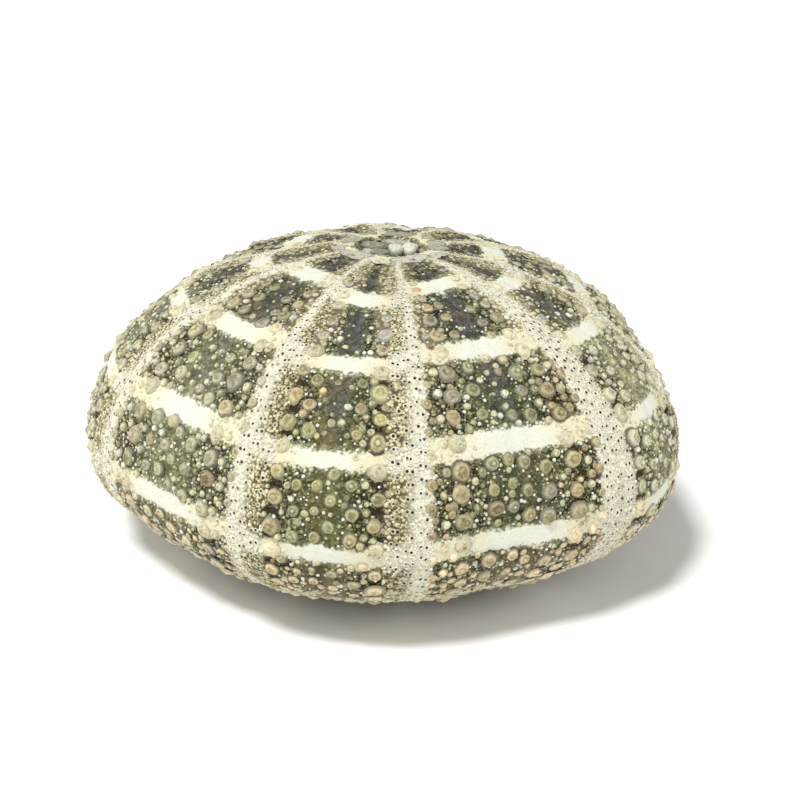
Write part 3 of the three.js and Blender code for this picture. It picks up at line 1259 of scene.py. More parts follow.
@dataclass(frozen=True)
class PatchTones:
    """Colours of the dark patches: greyer near the pole, greener below, beige underneath."""

    zones: Zones
    sector_green: tuple[float, ...] = (0.9, 0.45, 0.9, 0.6, 0.8, 0.5, 0.9, 0.7, 0.95, 0.8)
    # Paleness of each sector: partly faded colour, partly painted light, strongest on the right and left
    # sides.
    sector_pale: tuple[float, ...] = (0.05, 0.0, 1.0, 0.4, 0.0, 0.1, 0.3, 0.1, 0.5, 0.35)
    faded_start: tuple[float, float] = (34.0, 56.0)
    faded_end: tuple[float, float] = (84.0, 100.0)
    bleached_start: tuple[float, float] = (86.0, 104.0)
    bleached_most: float = 0.75
    green_arcs: tuple[float, ...] = (12, 40, 50, 66, 84)
    green_shares: tuple[float, ...] = (0.15, 0.25, 0.55, 1.0, 1.0)
    grey: Tone = (80, 81, 67)
    green: Tone = (116, 121, 72)
    brown: Tone = (118, 106, 70)
    flank: Tone = (200, 192, 148)
    chalk: Tone = (198, 192, 162)
    pale_green: Tone = (200, 198, 156)
    violet: Tone = (112, 109, 105)
    disc: Tone = (206, 200, 182)
    # Painted shade in the sunken dish between its loose plates.
    dish: Tone = (44, 44, 34)
    low_brown: Tone = (138, 116, 80)
    warm: Tone = (150, 128, 84)

    def sector(self, azimuth: Array) -> Array:
        """Number of the sector, 0 in front, rising by one for each tenth turn."""
        return np.round((np.asarray(azimuth, float) % 360) / self.zones.lobe_half).astype(int) % 10

    def faded_and_lit(self, arc: Array, azimuth: Array) -> Array:
        """Share of faded pale green, the sector's own, in the middle and lower rows, partly painted light
        on the sides.
        """
        rows = smooth(arc, *self.faded_start) * (1 - smooth(arc, *self.faded_end))
        return np.array(self.sector_pale)[self.sector(azimuth)] * rows

    def bleached(self, arc: Array) -> Array:
        """Share of bleaching to beige on the underside."""
        return self.bleached_most * smooth(arc, *self.bleached_start)

    def at(self, arc: Array, azimuth: Array) -> Array:
        """Colours at these places.

        Each of the ten sectors has its own share of green and its own paleness, partly painted light on
        the shell's sides, and every patch gets browner towards its pore zones and violet along its middle
        line near the pole.

        Args:
            arc: Arcs of the points.
            azimuth: Azimuths of the points.

        Returns:
            Linear colours, one row for each place.
        """
        zones = self.zones
        points = zones.form.on_surface(arc, azimuth)
        share = np.array(self.sector_green)[self.sector(azimuth)]
        share = share * np.interp(arc, self.green_arcs, self.green_shares)
        share = np.clip(share + 0.12 * ripple(points, 22.0, Seed.GREEN_CLOUDS), 0, 1)
        colour = blend(np.broadcast_to(linear(*self.grey), (*share.shape, 3)), linear(*self.green), share)
        line = (1 - smooth(zones.middle_distance(arc, azimuth), 0.8, 3.4)) * (1 - smooth(arc, 50.0, 72.0))
        warm_clouds = smooth(ripple(points, 14.0, Seed.WARM_CLOUDS), 0.6, 1.8)
        layers = (
            (self.brown, 0.6 * (1 - smooth(zones.inward(arc, azimuth), 0.1, 0.8))),
            (self.violet, 0.85 * line),
            (self.flank, 0.9 * zones.flank(arc, azimuth)),
            (self.low_brown, 0.7 * smooth(arc, 80.0, 90.0)),
            (self.pale_green, self.faded_and_lit(arc, azimuth)),
            (self.chalk, self.bleached(arc)),
            (self.warm, 0.35 * warm_clouds),
        )
        for tone, strength in layers:
            colour = blend(colour, linear(*tone), strength)
        colour = colour * (1 + 0.16 * ripple(points, 4.0, Seed.SHADE_CLOUDS))[..., None]
        colour = blend(colour, linear(*self.disc), 0.85 * (1 - smooth(arc, 10.5, 15.5)))
        # Painted shade in the dish at the pole.
        return blend(colour, linear(*self.dish), 1 - smooth(arc, 6.6, 7.4))


@dataclass
class Tubercles:
    """The large knobs, warts and beads, and the fine granules, in rows and scattered."""

    relief: Relief
    knob: Stamp = Stamp(
        (
            (1.3, -0.12),
            (1.06, 0.03),
            (0.96, 0.36),
            (0.8, 0.64),
            (0.61, 0.82),
            (0.46, 0.9),
            (0.37, 0.91),
            (0.26, 1.06),
            (0.13, 1.15),
        ),
        11,
        1.18,
        0.42,
    )
    bead: Stamp = Stamp(((1.36, -0.1), (1.05, 0.05), (0.97, 0.42), (0.76, 0.76), (0.4, 0.96)), 8)
    granule: Stamp = Stamp(((1.12, -0.12), (0.84, 0.62)), 6)
    knob_height: float = 0.62
    bead_height: float = 0.9
    granule_height: float = 0.95
    wart_gap: float = 2.15
    bead_gap: float = 3.6
    granule_gap: float = 1.16
    narrowest: float = 0.42
    ground_gain: float = 2.5
    ground_limit: float = 0.6
    wobble: float = 0.26
    most_rows: int = 60
    full_size_arc: float = 70.0
    low_start: tuple[float, float] = (78.0, 88.0)
    rise_start: tuple[float, float] = (20.0, 52.0)
    rise_fade: tuple[float, float] = (80.0, 92.0)
    rise_loss: float = 0.34
    first: float = 8.3
    last: float = 121.5
    split_arc: float = 70.0
    band_tone: Tone = (228, 220, 182)
    faded_and_lit_tone: Tone = (208, 205, 166)
    bleached_tone: Tone = (216, 203, 172)
    low_tone: Tone = (236, 212, 168)
    granule_band_tone: Tone = (238, 236, 212)
    granule_faded_and_lit_tone: Tone = (196, 196, 158)
    granule_bleached_tone: Tone = (206, 194, 162)
    stains: tuple[tuple[float, float, float, Tone], ...] = (
        (41.8, 21.8, 0.75, (112, 36, 34)),
        (75.1, -23.9, 1.6, (128, 98, 58)),
        (22.8, 24.5, 0.9, (212, 172, 132)),
        (77.0, 31.0, 1.5, (134, 108, 72)),
    )

    def column_spots(self, column: Column, seed: int) -> Spots:
        """Places of one column in all ten half lobes, at the plate rows.

        A knob stands at each row number that has the known arc's fraction, and its radius goes with the
        height of the row, up to a share of the width there is.

        Args:
            column: The column.
            seed: Seed of the small moves, sizes and tints.

        Returns:
            Its spots.
        """
        zones = self.relief.zones
        rng = np.random.default_rng(seed)
        parts = []
        for lobe in range(zones.form.lobes):
            for side in Side:
                known = column.right if side is Side.RIGHT else column.left
                rows = np.arange(self.most_rows) + zones.row(known) % 1
                arc = zones.arc_of_row(rows)
                arc = arc[(arc > column.first) & (arc < column.last)]
                arc = arc + rng.normal(0, self.wobble, len(arc))
                azimuth = np.full(len(arc), lobe * 2 * zones.lobe_half + side.value * column.angle)
                azimuth = azimuth + rng.normal(0, self.wobble, len(arc)) / zones.degree(arc)
                parts.append((arc, azimuth))
        arc, azimuth = (np.concatenate(part) for part in zip(*parts))
        growth = zones.pitch(arc) / zones.pitch(self.full_size_arc)
        radius = column.radius * growth * rng.uniform(0.82, 1.12, len(arc))
        radius = np.minimum(radius, self.narrowest * 6 * zones.degree(arc) * growth + 0.2)
        choice = rng.integers(len(column.tints), size=len(arc))
        tint = np.array([linear(*tint) for tint in column.tints])[choice]
        spots = Spots(arc, azimuth, radius, self.aged(arc, azimuth, tint, rng))
        in_band = zones.band_depth(arc, azimuth) > -0.2
        return spots.pick(~in_band | column.in_bands)

    def aged(self, arc: Array, azimuth: Array, tint: Array, rng: np.random.Generator) -> Array:
        """Tints drawn to the ground's tone, paler in the bands and beige on the underside.

        Each tone is mixed in by its zone's share times a random share, and the last step makes each spot
        a little lighter or darker.

        Args:
            arc: Arcs of the spots.
            azimuth: Azimuths of the spots.
            tint: Their fresh tints.
            rng: Generator of the shares.

        Returns:
            The tints after that.
        """
        count = len(arc)
        patches = PatchTones(self.relief.zones)
        ground = np.minimum(patches.at(arc, azimuth) * self.ground_gain, self.ground_limit)
        tint = blend(tint, ground, rng.uniform(0.1, 0.6, count))
        band = smooth(self.relief.zones.band_depth(arc, azimuth), -1.2, 0.5)
        layers = (
            (self.band_tone, band, 0.75, 1.0),
            # The pale green layer is partly faded colour and partly painted light on the shell's sides.
            (self.faded_and_lit_tone, patches.faded_and_lit(arc, azimuth), 0.45, 1.0),
            (self.bleached_tone, patches.bleached(arc), 0.35, 1.0),
            (self.low_tone, smooth(arc, *self.low_start), 0.3, 0.95),
        )
        for tone, strength, least, most in layers:
            tint = blend(tint, linear(*tone), strength * rng.uniform(least, most, count))
        return tint * rng.uniform(0.78, 1.2, (count, 1))

    def painted_shade(self, spots: Spots) -> Array:
        """Strength of the painted shade round each spot's foot and in its groove: much in the dark
        patches, little in the bands.
        """
        band = smooth(self.relief.zones.band_depth(spots.arc, spots.azimuth), -0.9, 0.5)
        return 1 - 0.82 * band

    def knobs(self) -> Spots:
        """All large knobs, with the few reddish ones in their own places.

        Returns:
            Their spots.
        """
        columns = [self.column_spots(column, Seed.KNOB_COLUMNS + i) for i, column in enumerate(COLUMNS)]
        spots = Spots.joined(columns)
        arc, azimuth, radius, tones = zip(*self.stains)
        tint = np.array([linear(*tone) for tone in tones])
        stained = Spots(np.array(arc), np.array(azimuth), np.array(radius), tint)
        spots = spots.pick(clear_of(self.relief.zones.form, spots, stained, -0.25))
        return Spots.joined([spots, stained])

    def scattered_spots(
        self,
        gap: float,
        sizes: tuple[float, float],
        tones: tuple[Tone, ...],
        odds: tuple[float, ...],
        seed: int,
    ) -> tuple[Spots, Array, np.random.Generator]:
        """Spots strewn over the whole shell but the pore zones.

        Args:
            gap: Mean distance between neighbours.
            sizes: Smallest and largest radius.
            tones: Colours to choose from.
            odds: Their chances.
            seed: Seed of places, sizes and choices.

        Returns:
            The spots, a chance for each and the generator that goes on.
        """
        zones = self.relief.zones
        rng = np.random.default_rng(seed)
        arc, azimuth = scattered(zones.form, gap, self.first, self.last, seed + 1)
        keep = zones.pore_depth(arc, azimuth) < -0.3
        arc, azimuth = arc[keep], azimuth[keep]
        size = rng.uniform(*sizes, len(arc)) * (0.5 + 0.5 * smooth(arc, 10.0, 50.0))
        tint = np.array([linear(*tone) for tone in tones])[rng.choice(len(tones), len(arc), p=odds)]
        return Spots(arc, azimuth, size, tint), rng.uniform(size=len(arc)), rng

    def beads(self, knobs: Spots) -> Spots:
        """Pale beads in their columns and scattered between the knobs.

        Args:
            knobs: The large knobs, which stay clear.

        Returns:
            The spots of the beads.
        """
        zones = self.relief.zones
        columns = enumerate(BEAD_COLUMNS)
        rows = Spots.joined([self.column_spots(column, Seed.BEAD_COLUMNS + i) for i, column in columns])
        rows = rows.pick(clear_of(zones.form, rows, knobs, -0.15))
        tones, odds = (BEAD, PEARL, BEIGE, SAGE), (0.4, 0.3, 0.15, 0.15)
        loose, _, _ = self.scattered_spots(self.bead_gap, (0.42, 0.75), tones, odds, Seed.LOOSE_BEADS)
        loose = loose.pick(zones.band_depth(loose.arc, loose.azimuth) < -0.4)
        loose = loose.pick(clear_of(zones.form, loose, knobs, 0.05))
        loose = loose.pick(clear_of(zones.form, loose, rows, 0.25))
        return Spots.joined([rows, loose])

    def warts(self, larger: Spots) -> Spots:
        """Dull middle-sized warts, crowded beside the pore zones and few near the middle lines.

        Args:
            larger: The knobs and beads, which stay clear.

        Returns:
            The spots of the warts.
        """
        zones = self.relief.zones
        tones, odds = (OLIVE, SAGE, MOSS, BEAD), (0.3, 0.3, 0.25, 0.15)
        spots, chance, rng = self.scattered_spots(self.wart_gap, (0.42, 0.9), tones, odds, Seed.WARTS)
        near = 1 - smooth(zones.inward(spots.arc, spots.azimuth), 0.25, 0.8)
        side_tones = np.array([linear(*tone) for tone in (TAN, ROSE, OCHRE, BEIGE)])
        beside = rng.uniform(size=len(near)) < 0.2 + 0.8 * near
        side_tint = side_tones[rng.integers(len(side_tones), size=len(near))]
        spots.tint = np.where(beside[:, None], side_tint, spots.tint)
        spots.tint = self.aged(spots.arc, spots.azimuth, spots.tint, rng)
        below = smooth(spots.arc, 70.0, 92.0)
        band = smooth(zones.band_depth(spots.arc, spots.azimuth), -0.6, 0.2)
        wanted = 0.8 * np.maximum(near, 0.2 + 0.5 * below) * (1 - band) + 0.4 * band * near**2
        wanted = wanted * (1 - 0.8 * zones.crevice(spots.arc, spots.azimuth))
        spots = spots.pick(chance < wanted)
        return spots.pick(clear_of(zones.form, spots, larger, -0.12))

    def granules(self, larger: Spots) -> Spots:
        """Fine granules between the larger knobs, few in the bands and on the bare middle strips.

        Args:
            larger: All larger knobs, which stay clear.

        Returns:
            The spots of the granules.
        """
        zones = self.relief.zones
        tones = (GLINT, BEAD, (180, 174, 122), MOSS, (92, 92, 62))
        odds = (0.23, 0.22, 0.17, 0.23, 0.15)
        spots, chance, rng = self.scattered_spots(self.granule_gap, (0.2, 0.4), tones, odds, Seed.GRANULES)
        arc, azimuth = spots.arc, spots.azimuth
        band = zones.band_depth(arc, azimuth)
        spots.tint = blend(spots.tint, linear(*self.granule_band_tone), smooth(band, -0.8, 0.3) * 0.9)
        patches = PatchTones(zones)
        layers = (
            # The pale green layer is partly faded colour and partly painted light on the shell's sides.
            (self.granule_faded_and_lit_tone, patches.faded_and_lit(arc, azimuth)),
            (self.granule_bleached_tone, patches.bleached(arc)),
        )
        for tone, strength in layers:
            spots.tint = blend(spots.tint, linear(*tone), strength * rng.uniform(0, 0.9, len(arc)))
        bare = 1 - smooth(zones.middle_distance(arc, azimuth), 1.2, 3.4)
        bare = bare * (1 - 0.4 * smooth(arc, 55.0, 74.0))
        inward = zones.inward(arc, azimuth)
        keep = (chance > 0.85 * bare) & (chance > 0.9 * zones.crevice(arc, azimuth))
        keep &= (band < 0.1) | (chance > 0.35 + 0.65 * smooth(inward, 0.3, 0.65))
        spots = spots.pick(keep)
        return spots.pick(clear_of(zones.form, spots, larger, -0.08))

    def make(
        self, name: str, stamp: Stamp, spots: Spots, height: float, material: bpy.types.Material
    ) -> bpy.types.Object:
        """Stamps the spots into one object.

        A copy's height is its radius times the given share, which is lower near the pole and underneath,
        times a random factor.

        Args:
            name: The piece's name.
            stamp: The small solid.
            spots: Its places, sizes and tints.
            height: Height of a copy as a share of its radius.
            material: The finish.

        Returns:
            The object.
        """
        count = len(spots.arc)
        rng = np.random.default_rng(count)
        rise = height * (0.55 + 0.45 * smooth(spots.arc, *self.rise_start)) * rng.uniform(0.8, 1.2, count)
        rise = rise * (1 - self.rise_loss * smooth(spots.arc, *self.rise_fade))
        outline = wavy(count, stamp.sides, rng.uniform(0.92, 1.08, count), 0.035, count + 1)
        vertices, faces, rings = stamp.build(
            self.relief, spots.arc, spots.azimuth, spots.radius, spots.radius * rise, outline
        )
        each = stamp.vertices_each
        attributes = {
            "rim": rings["rim"],
            "groove": rings["groove"],
            "tint": np.repeat(spots.tint, each, 0),
            "painted_shade": np.repeat(self.painted_shade(spots) * rng.uniform(0.45, 1.0, count), each),
            # Above zero a painted highlight on the boss, below zero an umber stain.
            "boss_highlight_and_stain": np.repeat(rng.uniform(-1.2, 0.9, count), each),
        }
        return mesh_object(name, vertices, faces, attributes, material)

    def build(self) -> list[bpy.types.Object]:
        """Builds the knobs, beads, warts and two lots of granules.

        Returns:
            The five pieces.
        """
        knobs = self.knobs()
        beads = self.beads(knobs)
        warts = self.warts(Spots.joined([knobs, beads]))
        granules = self.granules(Spots.joined([knobs, beads, warts]))
        upper = granules.arc < self.split_arc
        dull = KnobFinish().material()
        glossy = KnobFinish("bead_lime", 0.34, 0.5, ring_light=0.0).material()
        plans = (
            ("primary_tubercles", self.knob, knobs, self.knob_height, dull),
            ("secondary_tubercles", self.bead, beads, self.bead_height, glossy),
            ("warts", self.bead, warts, self.knob_height, dull),
            ("upper_granules", self.granule, granules.pick(upper), self.granule_height, glossy),
            ("lower_granules", self.granule, granules.pick(~upper), self.granule_height, glossy),
        )
        return [self.make(*plan) for plan in plans]


@dataclass
class PoreZones:
    """The ten zones of tube-foot pores: arcs of three pairs, with cream granules between them."""

    relief: Relief
    rim: Stamp = Stamp(((1.75, -0.1), (1.32, 0.7), (0.98, 0.62), (0.8, 0.1)), 8, 0.08)
    granule: Stamp = Stamp(((1.12, -0.12), (0.84, 0.62)), 6)
    arc_pitch: float = 2.55
    pitch_arcs: tuple[float, ...] = (9, 40, 100, 122)
    pitch_shares: tuple[float, ...] = (0.45, 1, 1, 0.75)
    growth_arcs: tuple[float, ...] = (9, 45, 100, 122)
    growths: tuple[float, ...] = (0.32, 1, 1, 0.7)
    first: float = 9.6
    last: float = 121.0
    column_step: float = 2.55
    pair_gap: float = 0.98
    slant: float = 0.85
    hole_radius: float = 0.34
    rim_height: float = 0.55
    granule_gap: float = 0.98
    granule_first: float = 8.4
    split_arc: float = 64.0
    cream: Tone = (230, 225, 190)
    dull: Tone = (146, 134, 92)
    white: Tone = (238, 235, 214)

    def pores(self) -> Spots:
        """Places of all pores: for each arc of pairs three pairs on a slant, two pores to a pair.

        The middles of the arcs lie a pitch apart, and the pitch and all distances shrink towards both
        ends of the zone.

        Returns:
            The spots of the pores.
        """
        zones = self.relief.zones
        rng = np.random.default_rng(Seed.PORES)
        samples = np.linspace(self.first, self.last, 400)
        pitch = self.arc_pitch * np.interp(samples, self.pitch_arcs, self.pitch_shares)
        number = np.concatenate([[0], np.cumsum(np.diff(samples) / pitch[1:])])
        arcs = np.interp(np.arange(int(number[-1])), number, samples)
        lobe, side, middle, pair, half = np.meshgrid(
            np.arange(zones.form.lobes),
            [side.value for side in Side],
            arcs,
            [-1, 0, 1],
            [-0.5, 0.5],
            indexing="ij",
        )
        growth = np.interp(middle, self.growth_arcs, self.growths)
        arc = middle + self.slant * pair * growth + 0.22 * half * growth
        arc = arc + rng.normal(0, 0.12, arc.shape) * growth
        angle = zones.pore_middle - pair * self.column_step
        angle = angle + half * self.pair_gap * growth / zones.degree(middle)
        angle = angle + rng.normal(0, 0.1, arc.shape) * growth / zones.degree(middle)
        azimuth = lobe * 2 * zones.lobe_half + side * angle
        radius = self.hole_radius * growth * rng.uniform(0.85, 1.15, arc.shape)
        arc, azimuth, radius = arc.ravel(), azimuth.ravel(), radius.ravel()
        return Spots(arc, azimuth, radius, self.tints(arc, azimuth, rng))

    def tints(self, arc: Array, azimuth: Array, rng: np.random.Generator) -> Array:
        """Cream, yellower in the dark rows and whiter in the bands and beside the broad plates.

        Args:
            arc: Arcs of the spots.
            azimuth: Azimuths of the spots.
            rng: Generator of the shares.

        Returns:
            Linear colours, one row for each spot.
        """
        zones = self.relief.zones
        count = len(arc)
        band = smooth(zones.band_depth(arc, azimuth), -2.0, 0.5)
        outer = zones.whiter_side(azimuth)
        white = np.clip(np.maximum(band, 0.85 * outer) * rng.uniform(0.6, 1.3, count), 0, 1)
        dull = (1 - white) * rng.uniform(0, 1, count) ** 1.6
        tint = blend(np.tile(linear(*self.cream), (count, 1)), linear(*self.dull), dull)
        tint = blend(tint, linear(*self.white), white)
        return tint * rng.uniform(0.88, 1.08, (count, 1))

    def granules(self, pores: Spots) -> Spots:
        """Tiny beads that fill the zones between the pores.

        Args:
            pores: The pores, which stay clear.

        Returns:
            The spots of the beads.
        """
        zones = self.relief.zones
        rng = np.random.default_rng(Seed.PORE_GRANULES)
        seed = Seed.PORE_GRANULE_PLACES
        arc, azimuth = scattered(zones.form, self.granule_gap, self.granule_first, self.last, seed)
        keep = zones.pore_depth(arc, azimuth) > -0.35
        arc, azimuth = arc[keep], azimuth[keep]
        growth = np.interp(arc, (9, 45), (0.5, 1))
        size = rng.uniform(0.24, 0.52, len(arc)) * (1 - 0.4 * zones.whiter_side(azimuth)) * growth
        spots = Spots(arc, azimuth, size, self.tints(arc, azimuth, rng))
        around = Spots(pores.arc, pores.azimuth, pores.radius * 1.35, pores.tint)
        return spots.pick(clear_of(zones.form, spots, around, -0.05))

    def make(
        self, name: str, stamp: Stamp, spots: Spots, height: float, material: bpy.types.Material
    ) -> bpy.types.Object:
        """Stamps the spots into one object, with a little less of the openings' painted shade in some of
        them.

        Args:
            name: The piece's name.
            stamp: The small solid.
            spots: Its places, sizes and tints.
            height: Height of a copy as a share of its radius.
            material: The finish.

        Returns:
            The object.
        """
        vertices, faces, rings = stamp.build(
            self.relief, spots.arc, spots.azimuth, spots.radius, spots.radius * height
        )
        each = stamp.vertices_each
        open_share = np.random.default_rng(Seed.PORE_OPENINGS).uniform(0.45, 1.0, len(spots.arc))
        is_pore = float(stamp is self.rim)
        zones = self.relief.zones
        band = smooth(zones.band_depth(spots.arc, spots.azimuth), -0.9, 0.5)
        band = np.maximum(band, zones.whiter_side(spots.azimuth))
        attributes = {
            "rim": rings["rim"] * (1 - is_pore),
            "hole": rings["hole"] * np.repeat(open_share, each) * is_pore,
            "tint": np.repeat(spots.tint * (1 - 0.1 * is_pore), each, 0),
            "painted_shade": np.repeat(1 - 0.7 * band, each),
        }
        return mesh_object(name, vertices, faces, attributes, material)

    def build(self) -> list[bpy.types.Object]:
        """Builds the pores and the granules between them.

        Returns:
            The three pieces.
        """
        pores = self.pores()
        spots = self.granules(pores)
        upper = spots.arc < self.split_arc
        finish = PoreFinish().material()
        return [
            self.make("pore_rims", self.rim, pores, self.rim_height, finish),
            self.make("upper_pore_granules", self.granule, spots.pick(upper), 1.0, finish),
            self.make("lower_pore_granules", self.granule, spots.pick(~upper), 1.0, finish),
        ]


@dataclass
class ApicalDisc:
    """Plates at the pole: five large and five small ones in a ring, and loose ones in the dish.

    Attributes:
        relief: The wall.
        plate: Shape of a plate.
        hole: Shape of a gonopore.
        ring_arcs: Arcs of the large and the small ring plates, and so for the next three.
        ring_radii: Their radii.
        ring_heights: Their heights.
        ring_stretches: Half length across, as a share of the radius.
        ring_waves: Height of the waves of their outlines.
        dish_waves: The same for the loose plates.
        gonopore: Arc, radius, height and lift of the five gonopores.
        gonopore_tone: Their colour.
        dish_plates: Arc, azimuth, radius, height, stretch and colour of each loose plate.
        ring_tones: Colours of the large plates and then of the small ones.
    """

    relief: Relief
    plate: Stamp = Stamp(
        ((1.05, -0.3), (1.0, 0.2), (0.93, 0.56), (0.8, 0.82), (0.6, 0.96), (0.32, 1.02)), 24, 1.04
    )
    hole: Stamp = Stamp(((1.7, -0.2), (1.25, 0.5), (0.95, 0.4), (0.7, 0.06)), 12, 0.05)
    ring_arcs: tuple[float, float] = (9.8, 10.9)
    ring_radii: tuple[float, float] = (2.85, 1.75)
    ring_heights: tuple[float, float] = (0.04, 0.03)
    ring_stretches: tuple[float, float] = (1.3, 1.08)
    ring_waves: float = 0.13
    dish_waves: float = 0.09
    gonopore: tuple[float, float, float, float] = (10.8, 0.42, 0.4, 0.06)
    gonopore_tone: Tone = (176, 174, 156)
    dish_plates: tuple[tuple[float, float, float, float, float, Tone], ...] = (
        (4.0, 106, 2.3, 1.45, 1.3, (224, 226, 206)),
        (1.1, 104, 2.15, 1.25, 1.35, (218, 220, 198)),
        (4.6, -114, 2.5, 1.05, 0.85, (142, 143, 126)),
        (5.2, -62, 1.5, 0.75, 1.1, (196, 193, 172)),
        (2.9, -45, 1.9, 0.7, 1.1, (138, 137, 116)),
        (5.4, -12, 1.3, 0.6, 1.3, (172, 168, 146)),
        (5.2, 176, 2.1, 1.0, 1.25, (178, 178, 156)),
        (5.7, 138, 1.3, 0.85, 1.0, (156, 154, 134)),
        (6.6, 96, 0.9, 0.85, 1.3, (170, 168, 150)),
        (6.2, -158, 1.2, 0.8, 1.0, (130, 130, 110)),
        (5.9, 50, 1.0, 0.5, 1.4, (120, 118, 98)),
    )
    ring_tones: tuple[Tone, ...] = (
        (208, 203, 184),
        (178, 177, 152),
        (162, 162, 138),
        (172, 170, 146),
        (198, 193, 176),
        (218, 213, 192),
        (202, 198, 176),
        (168, 168, 142),
        (162, 162, 136),
        (190, 186, 164),
    )

    def plates(
        self,
        name: str,
        arc: Array,
        azimuth: Array,
        radius: Array,
        height: Array,
        tones: tuple[Tone, ...],
        stretch: Array,
        waves: float,
        seed: int,
    ) -> bpy.types.Object:
        """One object of plates at the given places, with one tone for each.

        Args:
            name: The piece's name.
            arc: Arcs of the plates.
            azimuth: Azimuths of the plates.
            radius: Their radii.
            height: Their heights.
            tones: Their colours in steps of 255.
            stretch: Half length of each across, as a share of its radius.
            waves: Height of the waves of their outlines.
            seed: Seed of those waves.

        Returns:
            The object.
        """
        outlines = wavy(len(arc), self.plate.sides, stretch, waves, seed)
        vertices, faces, rings = self.plate.build(self.relief, arc, azimuth, radius, height, outlines)
        tint = np.array([linear(*tone) for tone in tones])
        attributes = {
            "rim": rings["rim"],
            "groove": rings["groove"],
            "tint": np.repeat(tint, self.plate.vertices_each, 0),
            "painted_shade": np.ones(len(vertices)),
            "boss_highlight_and_stain": np.zeros(len(vertices)),
        }
        finish = KnobFinish(name + "_lime", 0.55, 0.45, ring_light=0.0).material()
        return mesh_object(name, vertices, faces, attributes, finish)

    def build(self) -> list[bpy.types.Object]:
        """Builds the ring plates, the dish plates and the five gonopores.

        Returns:
            The three pieces.
        """
        zones = self.relief.zones
        count = zones.form.lobes
        lobe = np.arange(count) * 2 * zones.lobe_half
        ring = self.plates(
            "apical_ring_plates",
            np.repeat(self.ring_arcs, count),
            np.concatenate([lobe + zones.lobe_half, lobe]),
            np.repeat(self.ring_radii, count),
            np.repeat(self.ring_heights, count),
            self.ring_tones,
            np.repeat(self.ring_stretches, count),
            self.ring_waves,
            Seed.RING_PLATES,
        )
        *columns, tones = zip(*self.dish_plates)
        arc, azimuth, radius, height, stretch = (np.array(column) for column in columns)
        dish = self.plates(
            "apical_dish_plates",
            arc,
            azimuth,
            radius,
            height,
            tones,
            stretch,
            self.dish_waves,
            Seed.DISH_PLATES,
        )
        return [ring, dish, self.gonopores(lobe + zones.lobe_half)]

    def gonopores(self, azimuth: Array) -> bpy.types.Object:
        """One small rim near the outer edge of each large plate, with painted shade in its shallow hole.

        Args:
            azimuth: Azimuths of the large plates.

        Returns:
            The object.
        """
        arc, radius, height, lift = self.gonopore
        places = (np.full(len(azimuth), arc), azimuth)
        sizes = (np.full(len(azimuth), radius), np.full(len(azimuth), height))
        vertices, faces, rings = self.hole.build(self.relief, *places, *sizes, lift=lift)
        attributes = {
            "hole": rings["hole"],
            "rim": 0 * rings["rim"],
            "painted_shade": 0 * rings["rim"],
            "tint": np.tile(linear(*self.gonopore_tone), (len(vertices), 1)),
        }
        return mesh_object("gonopores", vertices, faces, attributes, PoreFinish().material())


